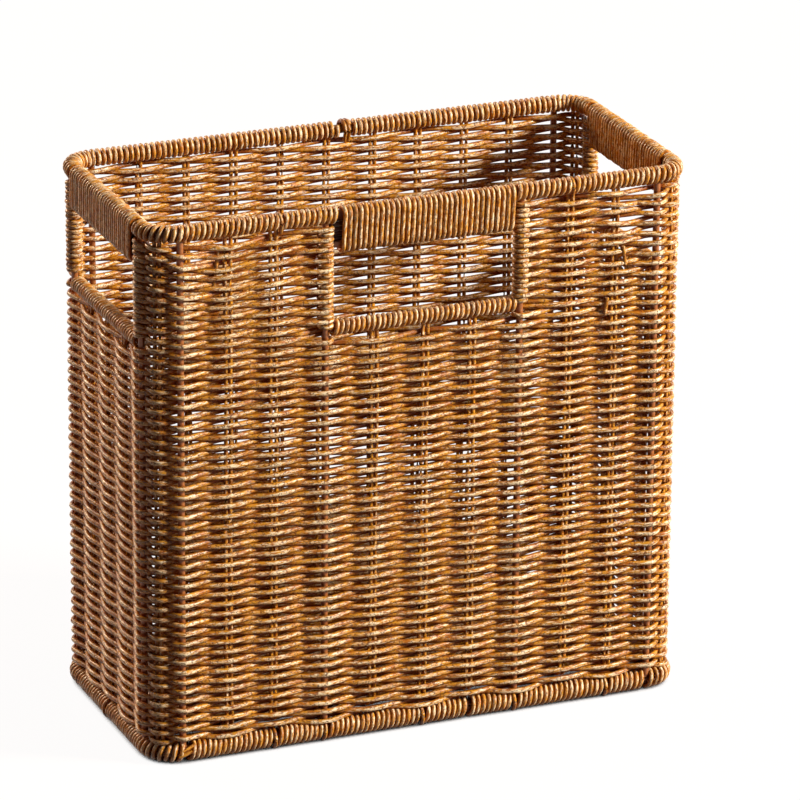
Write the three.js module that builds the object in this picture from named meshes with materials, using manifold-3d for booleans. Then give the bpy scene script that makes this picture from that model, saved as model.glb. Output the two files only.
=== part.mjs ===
// Magazine basket: resin cane woven on a wire frame, with wrapped rims and three hand holes.
// Millimetres, +Z up. The origin is on the floor under the basket's middle, and the front faces -Y.
import * as THREE from 'three';
import { mergeVertices } from 'three/addons/utils/BufferGeometryUtils.js';
import Module from 'manifold-3d';

// Overall sizes, outside
const basketWidth = 300;
const basketDepth = 140;
const basketHeight = 290;

// Radius of the corners in plan, on the middle line of the wall
const cornerRadius = 15;

// Frame wire
const wireDiameter = 3.5;

// Weave: rows of single cane that pass in front of one stake and behind the next
const wallThickness = 6.6;
const floorThickness = 6.6;

// Stakes: a strand folded double, so each stake is a pair
const stakeCane = 2;
const stakePairSpacing = 3.2;

// Wrapping cane on the rims, grips and sills
const wrapCane = 2.2;

// Stake ends laid along the rim wires under the wrapping, as what they add to each rim's diameter
const topRimPadding = 1;
const baseRimPadding = 2.7;

// Hand holes: height of the grip over the hole, height of the hole, and the weave round a jamb
const gripHeight = 25;
const handHoleHeight = 35.4;
const jambWeave = 2.45;

// Windings: whole turns, and the space left beside them at each end
const gripTurns = 22;
const gripEndSpace = 1.6;
const sillTurns = 18;
const sillEndSpace = 1;

// Joint in the back rim's wrapping, measured from the middle towards the right
const rimJointOffset = 7;

// Gap between pieces that rest on each other or fit in each other
const fitGap = 0.3;

// How far a cutting shape runs past what it cuts
const overrun = 1;

// Vertices nearer than this are one
const weldDistance = 1e-4;

// Stakes and jambs of the front, left to right, as shares of the half length between corner posts
const frontStakeShares = [-0.806, -0.618, -0.403, -0.2, 0.015, 0.215, 0.417, 0.627, 0.822];
const frontLeftJambIndex = 2;
const frontRightJambIndex = 6;

// Stakes of the back and of the two sides, spaced evenly
const backStakeShares = [-0.8, -0.6, -0.4, -0.2, 0, 0.2, 0.4, 0.6, 0.8];
const sideStakeShares = [-0.5, 0, 0.5];

// Facets
const wireSides = 8;
const arcDivisions = 2;
const gripArcSteps = 4;
const sillSteps = 8;

// Rims: the wire with its wrapping
const topRimDiameter = wireDiameter + 2 * (fitGap + wrapCane) + topRimPadding;
const baseRimDiameter = wireDiameter + 2 * (fitGap + wrapCane) + baseRimPadding;

// Middle line of the wall, and of each rim, as half sizes in plan
const wallHalfWidth = basketWidth / 2 - topRimDiameter / 2;
const wallHalfDepth = basketDepth / 2 - topRimDiameter / 2;
const baseHalfWidth = basketWidth / 2 - baseRimDiameter / 2;
const baseHalfDepth = basketDepth / 2 - baseRimDiameter / 2;
const baseCornerRadius = cornerRadius - (wallHalfWidth - baseHalfWidth);

// Heights
const topRimZ = basketHeight - topRimDiameter / 2;
const baseRimZ = baseRimDiameter / 2;
const weaveBottom = baseRimDiameter + fitGap;
const weaveTop = basketHeight - topRimDiameter - fitGap;
const floorZ = weaveBottom + floorThickness / 2;
const handHoleTop = basketHeight - gripHeight;
const handHoleBottom = handHoleTop - handHoleHeight;
const tabBottom = handHoleBottom + fitGap;
const jambReach = wireDiameter / 2 + jambWeave;

// Windings: the middle of the cane runs on a polygon that just holds the outer size
const gripStepAngle = Math.PI / gripArcSteps;
const gripRadius = topRimDiameter / 2 - wrapCane / 2 / Math.cos(gripStepAngle / 2);
const gripBarZ = handHoleTop + topRimDiameter / 2;
const sillStepAngle = 2 * Math.PI / sillSteps;
const sillRadius = (wireDiameter / 2 + fitGap + wrapCane / 2) / Math.cos(sillStepAngle / 2);
const sillOuterRadius = wireDiameter / 2 + fitGap + wrapCane;
const sillZ = handHoleBottom - sillOuterRadius;
const centreTop = sillZ - sillOuterRadius - fitGap;

// Uprights: corner posts stand where the corners begin, and the side jambs where they end
const postX = wallHalfWidth - cornerRadius;
const sideJambY = wallHalfDepth - cornerRadius;
const frontStakeX = frontStakeShares.map((share) => share * postX);
const backStakeX = backStakeShares.map((share) => share * postX);
const sideStakeY = sideStakeShares.map((share) => share * sideJambY);
const leftJambX = frontStakeX[frontLeftJambIndex];
const rightJambX = frontStakeX[frontRightJambIndex];

// Edges of a square-edged strand, as signs of its side and of its other side
const strandEdges = [[1, 1], [-1, 1], [-1, -1], [1, -1]];

const up = new THREE.Vector3(0, 0, 1);
const alongX = new THREE.Vector3(1, 0, 0);

const wasm = await Module();
wasm.setup();

// Solids

function toSolid(geometry) {
  const bare = geometry.clone();
  bare.deleteAttribute('normal');
  bare.deleteAttribute('uv');
  const merged = mergeVertices(bare, weldDistance);
  const vertProperties = new Float32Array(merged.attributes.position.array);
  const triVerts = new Uint32Array(merged.index.array);
  return new wasm.Manifold(new wasm.Mesh({ numProp: 3, vertProperties, triVerts }));
}

function toGeometry(solid) {
  const mesh = solid.getMesh();
  const geometry = new THREE.BufferGeometry();
  geometry.setAttribute('position', new THREE.BufferAttribute(mesh.vertProperties, 3));
  geometry.setIndex(new THREE.BufferAttribute(mesh.triVerts, 1));
  geometry.computeVertexNormals();
  return geometry;
}

function joined(solids) {
  return solids.reduce((whole, solid) => whole.add(solid));
}

function cut(solid, cutters) {
  return cutters.reduce((rest, cutter) => rest.subtract(cutter), solid);
}

// A box between two corners
function boxSolid(low, high) {
  const size = high.clone().sub(low);
  const geometry = new THREE.BoxGeometry(size.x, size.y, size.z);
  geometry.translate(low.x + size.x / 2, low.y + size.y / 2, low.z + size.z / 2);
  return toSolid(geometry);
}

// A rounded rectangle in plan, round its middle
function roundedOutline(Kind, halfWidth, halfDepth, radius) {
  const x = halfWidth - radius;
  const y = halfDepth - radius;
  const outline = new Kind();
  [[x, y], [-x, y], [-x, -y], [x, -y]].forEach(([centreX, centreY], quarter) => {
    const start = quarter * Math.PI / 2;
    outline.absarc(centreX, centreY, radius, start, start + Math.PI / 2, false);
  });
  outline.closePath();
  return outline;
}

// A band of even width that follows the rounded rectangle
function bandShape(halfWidth, halfDepth, radius, halfBand) {
  const shape = roundedOutline(THREE.Shape, halfWidth + halfBand, halfDepth + halfBand, radius + halfBand);
  shape.holes.push(
    roundedOutline(THREE.Path, halfWidth - halfBand, halfDepth - halfBand, radius - halfBand),
  );
  return shape;
}

// A closed ring of octagonal section, round enough for a wire, a wrapped rim or its bore
function ringSolid(halfWidth, halfDepth, radius, sectionRadius, z) {
  const halfFlat = sectionRadius * Math.tan(Math.PI / wireSides);
  const geometry = new THREE.ExtrudeGeometry(bandShape(halfWidth, halfDepth, radius, halfFlat), {
    depth: 2 * halfFlat,
    bevelEnabled: true,
    bevelSegments: 1,
    bevelSize: sectionRadius - halfFlat,
    bevelThickness: sectionRadius - halfFlat,
    curveSegments: arcDivisions,
  });
  geometry.translate(0, 0, z - halfFlat);
  return toSolid(geometry);
}

// A round bar, or the hole for one, between two points on a line along X, Y or Z
function barSolid(from, to, diameter) {
  const along = to.clone().sub(from);
  const radius = diameter / 2 / Math.cos(Math.PI / wireSides);
  const geometry = new THREE.CylinderGeometry(radius, radius, along.length(), wireSides);
  geometry.rotateY(Math.PI / wireSides);
  geometry.applyQuaternion(
    new THREE.Quaternion().setFromUnitVectors(new THREE.Vector3(0, 1, 0), along.clone().normalize()),
  );
  const middle = from.clone().add(to).divideScalar(2);
  geometry.translate(middle.x, middle.y, middle.z);
  return toSolid(geometry);
}

// The four edge lines of a square-edged strand, one ring at each point of its route
function strandRings(route, side, width, thickness) {
  return route.map((point, index) => {
    const before = point.clone().sub(route[Math.max(index - 1, 0)]).normalize();
    const after = route[Math.min(index + 1, route.length - 1)].clone().sub(point).normalize();
    const facing = before.clone().add(after).normalize();
    const lean = facing.dot(index === 0 ? after : before);
    const across = facing.clone().cross(side).normalize();
    return strandEdges.map(([sideSign, acrossSign]) => point.clone()
      .addScaledVector(side, sideSign * width / 2)
      .addScaledVector(across, acrossSign * thickness / 2 / lean));
  });
}

// One closed strand along a route of points
function strandSolid(route, side, width, thickness) {
  const rings = strandRings(route, side, width, thickness);
  const edges = strandEdges.length;
  const positions = rings.flat().flatMap((corner) => corner.toArray());
  const faces = [[0, 2, 1], [0, 3, 2]];
  for (let ring = 0; ring + 1 < rings.length; ring += 1) {
    for (let edge = 0; edge < edges; edge += 1) {
      const here = edges * ring + edge;
      const beside = edges * ring + (edge + 1) % edges;
      faces.push([here, beside, here + edges], [beside, beside + edges, here + edges]);
    }
  }
  const last = edges * (rings.length - 1);
  faces.push([last, last + 1, last + 2], [last, last + 2, last + 3]);
  const geometry = new THREE.BufferGeometry();
  geometry.setAttribute('position', new THREE.Float32BufferAttribute(positions, 3));
  geometry.setIndex(faces.flat());
  return toSolid(geometry);
}

// Object tree and finishes

const basket = new THREE.Group();
const wovenCane = { color: 0xb8803c, roughness: 0.55, metalness: 0 };
const wrappedCane = { color: 0xc08c48, roughness: 0.5, metalness: 0 };
const coatedWire = { color: 0xa4622f, roughness: 0.45, metalness: 0.1 };

function addPiece(name, solid, finish) {
  const mesh = new THREE.Mesh(toGeometry(solid), new THREE.MeshStandardMaterial(finish));
  mesh.name = name;
  basket.add(mesh);
}

// Uprights: corner posts and jambs, from the base wire to the top wire

const upright = (name, x, y) => ({ name, x, y });
const uprights = [
  upright('front_left_post', -postX, -wallHalfDepth),
  upright('front_left_jamb', leftJambX, -wallHalfDepth),
  upright('front_right_jamb', rightJambX, -wallHalfDepth),
  upright('front_right_post', postX, -wallHalfDepth),
  upright('back_left_post', -postX, wallHalfDepth),
  upright('back_right_post', postX, wallHalfDepth),
  upright('left_front_jamb', -wallHalfWidth, -sideJambY),
  upright('left_back_jamb', -wallHalfWidth, sideJambY),
  upright('right_front_jamb', wallHalfWidth, -sideJambY),
  upright('right_back_jamb', wallHalfWidth, sideJambY),
];
const uprightBottom = baseRimZ + wireDiameter / 2 + fitGap;
const uprightTop = topRimZ - wireDiameter / 2 - fitGap;
const uprightHoles = uprights.map(({ x, y }) => barSolid(
  new THREE.Vector3(x, y, baseRimZ),
  new THREE.Vector3(x, y, topRimZ),
  wireDiameter + 2 * fitGap,
));
uprights.forEach(({ name, x, y }) => {
  const foot = new THREE.Vector3(x, y, uprightBottom);
  addPiece(name, barSolid(foot, new THREE.Vector3(x, y, uprightTop), wireDiameter), coatedWire);
});

// Bars across the hand holes: the lower bar of each grip, and the bar of each sill

const barEnd = wireDiameter / 2 + fitGap;
const handHoles = [
  {
    name: 'front',
    from: new THREE.Vector3(leftJambX, -wallHalfDepth, 0),
    to: new THREE.Vector3(rightJambX, -wallHalfDepth, 0),
  },
  {
    name: 'left',
    from: new THREE.Vector3(-wallHalfWidth, sideJambY, 0),
    to: new THREE.Vector3(-wallHalfWidth, -sideJambY, 0),
  },
  {
    name: 'right',
    from: new THREE.Vector3(wallHalfWidth, -sideJambY, 0),
    to: new THREE.Vector3(wallHalfWidth, sideJambY, 0),
  },
].map((hole) => ({ ...hole, along: hole.to.clone().sub(hole.from).normalize() }));

// The stretch between a hand hole's jambs at one height, drawn in or out at both ends
function crossing(hole, z, inset) {
  const from = hole.from.clone().addScaledVector(hole.along, inset).setZ(z);
  const to = hole.to.clone().addScaledVector(hole.along, -inset).setZ(z);
  return [from, to];
}

const barHoles = handHoles.map((hole) => barSolid(
  ...crossing(hole, gripBarZ, 0),
  wireDiameter + 2 * fitGap,
));
handHoles.forEach((hole) => {
  const gripBar = barSolid(...crossing(hole, gripBarZ, barEnd), wireDiameter);
  addPiece(`${hole.name}_grip_bar`, gripBar, coatedWire);
  const sillBar = barSolid(...crossing(hole, sillZ, barEnd), wireDiameter);
  addPiece(`${hole.name}_sill_bar`, sillBar, coatedWire);
});

// Rim wires

addPiece(
  'top_rim_wire',
  ringSolid(wallHalfWidth, wallHalfDepth, cornerRadius, wireDiameter / 2, topRimZ),
  coatedWire,
);
addPiece(
  'base_rim_wire',
  ringSolid(baseHalfWidth, baseHalfDepth, baseCornerRadius, wireDiameter / 2, baseRimZ),
  coatedWire,
);

// Stakes: pairs that run down the front wall, under the floor and up the back wall

const stakePairWidth = stakePairSpacing + stakeCane;
const stakeHoleWidth = stakePairWidth + 2 * fitGap;
const stakeHoleDepth = stakeCane + 2 * fitGap;
const stakeHoles = [];
const jambIndexes = [frontLeftJambIndex, frontRightJambIndex];
const jambStakeY = -wallHalfDepth + wireDiameter / 2 + fitGap;

// The middle line of the pair at one place along the front. A pair behind a jamb has no front leg.
function stakeRoute(index, topRun) {
  const frontX = frontStakeX[index];
  const backX = backStakeX[index];
  const overHole = index > frontLeftJambIndex && index < frontRightJambIndex;
  const back = [
    new THREE.Vector3(backX, wallHalfDepth, floorZ),
    new THREE.Vector3(backX, wallHalfDepth, weaveTop + topRun),
  ];
  if (jambIndexes.includes(index)) {
    return [new THREE.Vector3(frontX, jambStakeY - topRun, floorZ), ...back];
  }
  const frontTop = (overHole ? centreTop : weaveTop) + topRun;
  return [
    new THREE.Vector3(frontX, -wallHalfDepth, frontTop),
    new THREE.Vector3(frontX, -wallHalfDepth, floorZ),
    ...back,
  ];
}

frontStakeX.forEach((frontX, index) => {
  const route = stakeRoute(index, 0);
  const legs = [-1, 1].map((sign) => strandSolid(
    route.map((point) => point.clone().addScaledVector(alongX, sign * stakePairSpacing / 2)),
    alongX,
    stakeCane,
    stakeCane,
  ));
  const top = route[route.length - 1];
  const foldReach = new THREE.Vector3(stakePairSpacing / 2, stakeCane / 2, 0);
  const fold = boxSolid(
    top.clone().sub(foldReach).setZ(top.z - stakeCane),
    top.clone().add(foldReach),
  );
  addPiece(`floor_stake_${index + 1}`, joined([...legs, fold]), wovenCane);
  stakeHoles.push(strandSolid(stakeRoute(index, overrun), alongX, stakeHoleWidth, stakeHoleDepth));
});

// Upright stakes of the two sides and the four corners, folded at the foot

function wallStake(name, place, outward, top) {
  const aside = up.clone().cross(outward);
  const corner = (sign, z) => place.clone().addScaledVector(aside, sign * stakePairSpacing / 2).setZ(z);
  const foldZ = weaveBottom + stakeCane / 2;
  const route = [corner(-1, top), corner(-1, foldZ), corner(1, foldZ), corner(1, top)];
  addPiece(name, strandSolid(route, outward, stakeCane, stakeCane), wovenCane);
  const hole = [place.clone().setZ(weaveBottom - overrun), place.clone().setZ(top + overrun)];
  stakeHoles.push(strandSolid(hole, outward, stakeHoleDepth, stakeHoleWidth));
}

[['left', -1], ['right', 1]].forEach(([sideName, sign]) => {
  sideStakeY.forEach((y, index) => {
    const place = new THREE.Vector3(sign * wallHalfWidth, y, 0);
    const outward = new THREE.Vector3(sign, 0, 0);
    wallStake(`${sideName}_stake_${index + 1}`, place, outward, centreTop);
  });
});

const corners = [
  { name: 'front_left', signX: -1, signY: -1 },
  { name: 'front_right', signX: 1, signY: -1 },
  { name: 'back_left', signX: -1, signY: 1 },
  { name: 'back_right', signX: 1, signY: 1 },
];
corners.forEach(({ name, signX, signY }) => {
  const outward = new THREE.Vector3(signX, signY, 0).normalize();
  const place = new THREE.Vector3(signX * postX, signY * sideJambY, 0);
  place.addScaledVector(outward, cornerRadius);
  wallStake(`${name}_corner_stake`, place, outward, weaveTop);
});

// Woven walls: one band in plan, bored for stakes, wires and bars, and parted at the uprights

const wallBand = new THREE.ExtrudeGeometry(
  bandShape(wallHalfWidth, wallHalfDepth, cornerRadius, wallThickness / 2),
  { depth: weaveTop - weaveBottom, bevelEnabled: false, curveSegments: arcDivisions },
);
wallBand.translate(0, 0, weaveBottom);
const boredWall = cut(toSolid(wallBand), [...stakeHoles, ...uprightHoles, ...barHoles]);

const halfGap = fitGap / 2;
const farX = basketWidth / 2 + overrun;
const farY = basketDepth / 2 + overrun;

// A stretch of the wall between two places in plan, up to a height
function wallPart(low, high, bottom, top) {
  const box = boxSolid(
    new THREE.Vector3(low[0], low[1], bottom),
    new THREE.Vector3(high[0], high[1], top),
  );
  return boredWall.intersect(box);
}
const fullPart = (low, high) => wallPart(low, high, weaveBottom - overrun, weaveTop + overrun);
const lowPart = (low, high) => wallPart(low, high, weaveBottom - overrun, centreTop);
const tabPart = (low, high) => wallPart(low, high, tabBottom, weaveTop + overrun);

addPiece('front_left_wall', joined([
  fullPart([-postX + halfGap, -farY], [leftJambX - halfGap, 0]),
  tabPart([leftJambX - jambReach, -farY], [leftJambX + jambReach, 0]),
]), wovenCane);
addPiece('front_right_wall', joined([
  fullPart([rightJambX + halfGap, -farY], [postX - halfGap, 0]),
  tabPart([rightJambX - jambReach, -farY], [rightJambX + jambReach, 0]),
]), wovenCane);
addPiece(
  'front_centre_wall',
  lowPart([leftJambX + halfGap, -farY], [rightJambX - halfGap, 0]),
  wovenCane,
);
addPiece('back_wall', fullPart([-postX + halfGap, 0], [postX - halfGap, farY]), wovenCane);
addPiece(
  'left_wall',
  lowPart([-farX, -sideJambY + halfGap], [0, sideJambY - halfGap]),
  wovenCane,
);
addPiece(
  'right_wall',
  lowPart([0, -sideJambY + halfGap], [farX, sideJambY - halfGap]),
  wovenCane,
);

// A box given in one quarter of the plan and turned over to the corner's own quarter
function mirrored(part, { signX, signY }, low, high) {
  const xs = [signX * low[0], signX * high[0]].sort((a, b) => a - b);
  const ys = [signY * low[1], signY * high[1]].sort((a, b) => a - b);
  return part([xs[0], ys[0]], [xs[1], ys[1]]);
}
corners.forEach((corner) => {
  const innerX = postX + halfGap;
  addPiece(`${corner.name}_corner_wall`, joined([
    mirrored(fullPart, corner, [innerX, sideJambY + halfGap], [farX, farY]),
    mirrored(tabPart, corner, [innerX, sideJambY - jambReach], [farX, sideJambY + jambReach]),
  ]), wovenCane);
});

// Woven floor, bored for the stakes that run under it

const floorInset = wallThickness / 2 + fitGap;
const floorPlate = new THREE.ExtrudeGeometry(
  roundedOutline(
    THREE.Shape,
    wallHalfWidth - floorInset,
    wallHalfDepth - floorInset,
    cornerRadius - floorInset,
  ),
  { depth: floorThickness, bevelEnabled: false, curveSegments: arcDivisions },
);
floorPlate.translate(0, 0, weaveBottom);
addPiece('floor', cut(toSolid(floorPlate), stakeHoles), wovenCane);

// Wrapping of the rims: a sleeve round the wire, open where the uprights come in

function rimSleeve(halfWidth, halfDepth, radius, outerRadius, z) {
  const outside = ringSolid(halfWidth, halfDepth, radius, outerRadius, z);
  const bore = ringSolid(halfWidth, halfDepth, radius, wireDiameter / 2 + fitGap, z);
  return cut(outside, [bore, ...uprightHoles]);
}

addPiece(
  'base_rim_wrap',
  rimSleeve(baseHalfWidth, baseHalfDepth, baseCornerRadius, baseRimDiameter / 2, baseRimZ),
  wrappedCane,
);

const topSleeve = rimSleeve(
  wallHalfWidth,
  wallHalfDepth,
  cornerRadius,
  topRimDiameter / 2,
  topRimZ,
);
const topSleevePart = (low, high) => topSleeve.intersect(boxSolid(
  new THREE.Vector3(low[0], low[1], topRimZ - topRimDiameter),
  new THREE.Vector3(high[0], high[1], topRimZ + topRimDiameter),
));
const sideWrapEnd = sideJambY - jambReach;
addPiece(
  'front_left_rim_wrap',
  topSleevePart([-farX, -farY], [leftJambX + jambReach, -sideWrapEnd]),
  wrappedCane,
);
addPiece(
  'front_right_rim_wrap',
  topSleevePart([rightJambX - jambReach, -farY], [farX, -sideWrapEnd]),
  wrappedCane,
);
addPiece(
  'back_left_rim_wrap',
  topSleevePart([-farX, sideWrapEnd], [rimJointOffset - halfGap, farY]),
  wrappedCane,
);
addPiece(
  'back_right_rim_wrap',
  topSleevePart([rimJointOffset + halfGap, sideWrapEnd], [farX, farY]),
  wrappedCane,
);

// Windings: one unbroken cane each, round the bars of a hand hole

// Places round one turn of a grip, as [across, up]: over the rim wire, down, and under the bar
function gripTurn() {
  const arc = (centreZ, start) => Array.from({ length: gripArcSteps + 1 }, (_, step) => {
    const angle = start + step * gripStepAngle;
    return [gripRadius * Math.cos(angle), centreZ + gripRadius * Math.sin(angle)];
  });
  return [...arc(topRimZ, 0), ...arc(gripBarZ, Math.PI)];
}

// Places round one turn of a sill, with a flat stretch at its top, bottom and sides
function sillTurn() {
  return Array.from({ length: sillSteps }, (_, step) => {
    const angle = step * sillStepAngle + sillStepAngle / 2;
    return [sillRadius * Math.cos(angle), sillZ + sillRadius * Math.sin(angle)];
  });
}

// A winding's route along a hand hole. Both ends run straight up or down before they stop.
function windingRoute(hole, turn, turns, endSpace, endRun) {
  const across = up.clone().cross(hole.along);
  const first = jambReach + endSpace + wrapCane / 2;
  const length = hole.from.distanceTo(hole.to) - 2 * first;
  const at = (progress, [offset, z]) => hole.from.clone()
    .addScaledVector(hole.along, first + length * progress)
    .addScaledVector(across, offset)
    .setZ(z);
  const total = turns * turn.length;
  const route = Array.from({ length: total + 1 }, (_, step) => at(step / total, turn[step % turn.length]));
  const start = route[0].clone().setZ(turn[0][1] - endRun);
  const end = route[total].clone().setZ(turn[0][1] + endRun);
  return endRun > 0 ? [start, ...route, end] : route;
}

// The least space between two turns, measured between points on the strand's edge lines
function leastGap(route, side, stepsPerTurn) {
  const pointsPerStep = 4;
  const rings = strandRings(route, side, wrapCane, wrapCane);
  const points = [];
  for (let index = 0; index + 1 < rings.length; index += 1) {
    for (let part = 0; part < pointsPerStep; part += 1) {
      rings[index].forEach((corner, edge) => points.push({
        place: corner.clone().lerp(rings[index + 1][edge], part / pointsPerStep),
        step: index + part / pointsPerStep,
      }));
    }
  }
  let least = Infinity;
  points.forEach((one, index) => {
    for (let other = index + 1; other < points.length; other += 1) {
      if (points[other].step - one.step > stepsPerTurn / 2) {
        least = Math.min(least, one.place.distanceTo(points[other].place));
      }
    }
  });
  return least;
}

function addWinding(name, hole, turn, turns, endSpace, endRun) {
  const route = windingRoute(hole, turn, turns, endSpace, endRun);
  const gap = leastGap(route, hole.along, turn.length);
  console.log(`${name}: ${turns} turns, least gap to itself ${gap.toFixed(2)} mm`);
  addPiece(name, strandSolid(route, hole.along, wrapCane, wrapCane), wrappedCane);
}

handHoles.forEach((hole) => {
  addWinding(`${hole.name}_grip_wrap`, hole, gripTurn(), gripTurns, gripEndSpace, 0);
  addWinding(`${hole.name}_sill_wrap`, hole, sillTurn(), sillTurns, sillEndSpace, wrapCane);
});

export default basket;
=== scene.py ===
"""Magazine basket: the visible finish of a basket woven from resin cane on a coated wire frame.

Lengths are in metres, +Z up. The origin is on the floor under the basket's middle, and the front faces -Y.
Ring distances run anticlockwise round the wall's middle line, seen from above, from the front left post.
"""

import logging
import math
from collections.abc import Sequence
from dataclasses import dataclass, field
from enum import Enum
from functools import partial

import bpy
from mathutils import Matrix, Vector


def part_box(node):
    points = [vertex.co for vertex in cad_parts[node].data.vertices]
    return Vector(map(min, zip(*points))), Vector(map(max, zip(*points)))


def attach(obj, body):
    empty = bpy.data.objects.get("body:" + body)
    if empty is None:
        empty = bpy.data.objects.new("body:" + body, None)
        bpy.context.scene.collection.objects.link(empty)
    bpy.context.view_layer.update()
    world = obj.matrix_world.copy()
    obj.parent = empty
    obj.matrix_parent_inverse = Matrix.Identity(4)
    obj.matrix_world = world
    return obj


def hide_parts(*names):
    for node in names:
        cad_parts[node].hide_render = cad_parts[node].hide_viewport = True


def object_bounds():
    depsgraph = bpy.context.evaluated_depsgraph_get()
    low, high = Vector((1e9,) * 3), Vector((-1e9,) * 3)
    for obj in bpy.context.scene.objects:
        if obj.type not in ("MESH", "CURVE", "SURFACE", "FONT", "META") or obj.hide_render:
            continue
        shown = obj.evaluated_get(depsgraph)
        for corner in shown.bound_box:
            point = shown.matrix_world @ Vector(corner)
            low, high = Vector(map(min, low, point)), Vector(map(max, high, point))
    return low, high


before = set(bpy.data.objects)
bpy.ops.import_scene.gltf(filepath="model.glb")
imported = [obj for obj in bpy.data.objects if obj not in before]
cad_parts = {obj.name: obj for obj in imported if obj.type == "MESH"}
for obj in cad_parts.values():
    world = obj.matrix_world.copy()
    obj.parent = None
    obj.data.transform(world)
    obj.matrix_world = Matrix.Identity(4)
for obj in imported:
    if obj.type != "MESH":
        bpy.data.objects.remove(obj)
cad_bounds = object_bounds()

log = logging.getLogger("magazine_basket")

Node = bpy.types.Node
Tree = bpy.types.NodeTree
Inputs = dict[str, object]
Pair = tuple[float, float]
Triple = tuple[float, float, float]

MM = 0.001
TURN = 2 * math.pi
QUARTER = math.pi / 2
UP = Vector((0, 0, 1))
WHITE = (1.0, 1.0, 1.0, 1.0)

# The curve between sRGB and linear values
SRGB_TOE = 0.04045
SRGB_TOE_SLOPE = 12.92
SRGB_OFFSET = 0.055
SRGB_POWER = 2.4

# Names of the nodes that the trees use most
MATHS = "ShaderNodeMath"
VECTORS = "ShaderNodeVectorMath"
NAMED = "GeometryNodeInputNamedAttribute"
STORE = "GeometryNodeStoreNamedAttribute"

# The type of a tree's input by the type of its default value
SOCKETS = {
    int: "NodeSocketInt",
    float: "NodeSocketFloat",
    tuple: "NodeSocketVector",
    type(None): "NodeSocketMaterial",
}

# How the trees tell one row's unevenness and pattern from the next
STRAND_GAP = 0.73
HALF_ROW = 0.5
ROW_DRIFT = 0.09
ROW_JITTER = 0.83
ROW_TONE = 1.7
GIRTH_SHIFT = 40.0
TONE_LENGTH = 150 * MM
TURN_SCALE = 0.9
TURN_TONE_SCALE = 0.37
HALVES = (0.5, 0.5, 0.5)
NEARLY_HALF_SHARE = 0.4999
FILLET_POINTS = 8
TUCKED_LIT_SHARE = 0.7
CAP_ANGLE = math.radians(65)

# Half the height of a wrapped sill
SILL_RADIUS = 4.25 * MM

# Stakes and jambs of the front, left to right, as shares of the half length between corner posts
FRONT_SHARES = (-0.806, -0.618, -0.403, -0.2, 0.015, 0.215, 0.417, 0.627, 0.822)
FRONT_JAMBS = (2, 6)
BACK_SHARES = (-0.8, -0.6, -0.4, -0.2, 0.0, 0.2, 0.4, 0.6, 0.8)
SIDE_SHARES = (-0.5, 0.0, 0.5)


class Slot(Enum):
    """The kinds of finish that pieces get."""

    WOVEN = "woven_cane"
    WRAPPED = "wrapped_cane"
    WIRE = "coated_wire"


class Support(Enum):
    """What a row of weave passes at a station of the wall."""

    WIRE = "wire"
    STAKES = "stakes"


class Hole(Enum):
    """Where a woven panel meets a hand hole, if it does."""

    NONE = "none"
    ABOVE = "above"
    AT_FIRST = "at first"
    AT_LAST = "at last"


def linear(colour: str) -> tuple[float, float, float, float]:
    """Turn an sRGB hex colour into linear values.

    Args:
        colour: The colour as six hex digits after a hash sign.

    Returns:
        Linear red, green and blue, and an alpha of one.
    """
    values = [int(colour[place:place + 2], 16) / 255 for place in (1, 3, 5)]
    red, green, blue = (
        value / SRGB_TOE_SLOPE if value <= SRGB_TOE
        else ((value + SRGB_OFFSET) / (1 + SRGB_OFFSET)) ** SRGB_POWER
        for value in values
    )
    return red, green, blue, 1.0


def add_node(tree: Tree, kind: str, inputs: dict | None = None, **settings: object) -> Node:
    """Add one node to a tree with its settings, values and links.

    Args:
        tree: The node tree.
        kind: The node's type name.
        inputs: For each input, by its name or number, a value, an output socket, a node whose first output
            is meant, or a list of nodes.
        **settings: The node's own properties.

    Returns:
        The new node.
    """
    node = tree.nodes.new(kind)
    for name, value in settings.items():
        setattr(node, name, value)
    for key, given in (inputs or {}).items():
        for value in given if isinstance(given, list) else [given]:
            if isinstance(value, Node):
                value = next(output for output in value.outputs if output.enabled)
            if isinstance(value, bpy.types.NodeSocket):
                tree.links.new(value, node.inputs[key])
            else:
                node.inputs[key].default_value = value
    return node


def add_run(tree: Tree, kind: str, value: object, *steps: tuple) -> Node:
    """Add a run of nodes of one kind, each of which takes the one before as its first input.

    Args:
        tree: The node tree.
        kind: The nodes' type name.
        value: The first input of the first node.
        *steps: For each node, its operation and its further inputs.

    Returns:
        The last node.
    """
    for operation, *others in steps:
        value = add_node(tree, kind, dict(enumerate((value, *others))), operation=operation)
    return value


def ranges(value: object, given: Pair, wanted: Pair = (0.0, 1.0)) -> Inputs:
    """Inputs of a node that maps a value from one range to another, each from its first end to its last."""
    return {
        "Value": value, "From Min": given[0], "From Max": given[1], "To Min": wanted[0], "To Max": wanted[1],
    }


def middle(node: str) -> Vector:
    """Return the middle of a CAD node's box."""
    low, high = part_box(node)
    return (low + high) / 2


def box_height(node: str) -> float:
    """Return the height of a CAD node's box."""
    low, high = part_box(node)
    return high.z - low.z


def direction(azimuth: float, elevation: float) -> Vector:
    """Return the unit vector at an angle round from straight in front and at an angle above level."""
    return Vector((
        math.sin(azimuth) * math.cos(elevation), -math.cos(azimuth) * math.cos(elevation),
        math.sin(elevation),
    ))


def new_object(name: str, data: bpy.types.ID) -> bpy.types.Object:
    """Add an object to the scene.

    Args:
        name: The object's name.
        data: Its mesh, lamp or camera.

    Returns:
        The new object.
    """
    thing = bpy.data.objects.new(name, data)
    bpy.context.scene.collection.objects.link(thing)
    return thing


def clear_tree(owner: bpy.types.Material | bpy.types.World) -> Tree:
    """Give a material or the world a tree of its own.

    Args:
        owner: The material or the world.

    Returns:
        The tree, with no nodes.
    """
    owner.use_nodes = True
    owner.node_tree.nodes.clear()
    return owner.node_tree


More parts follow.
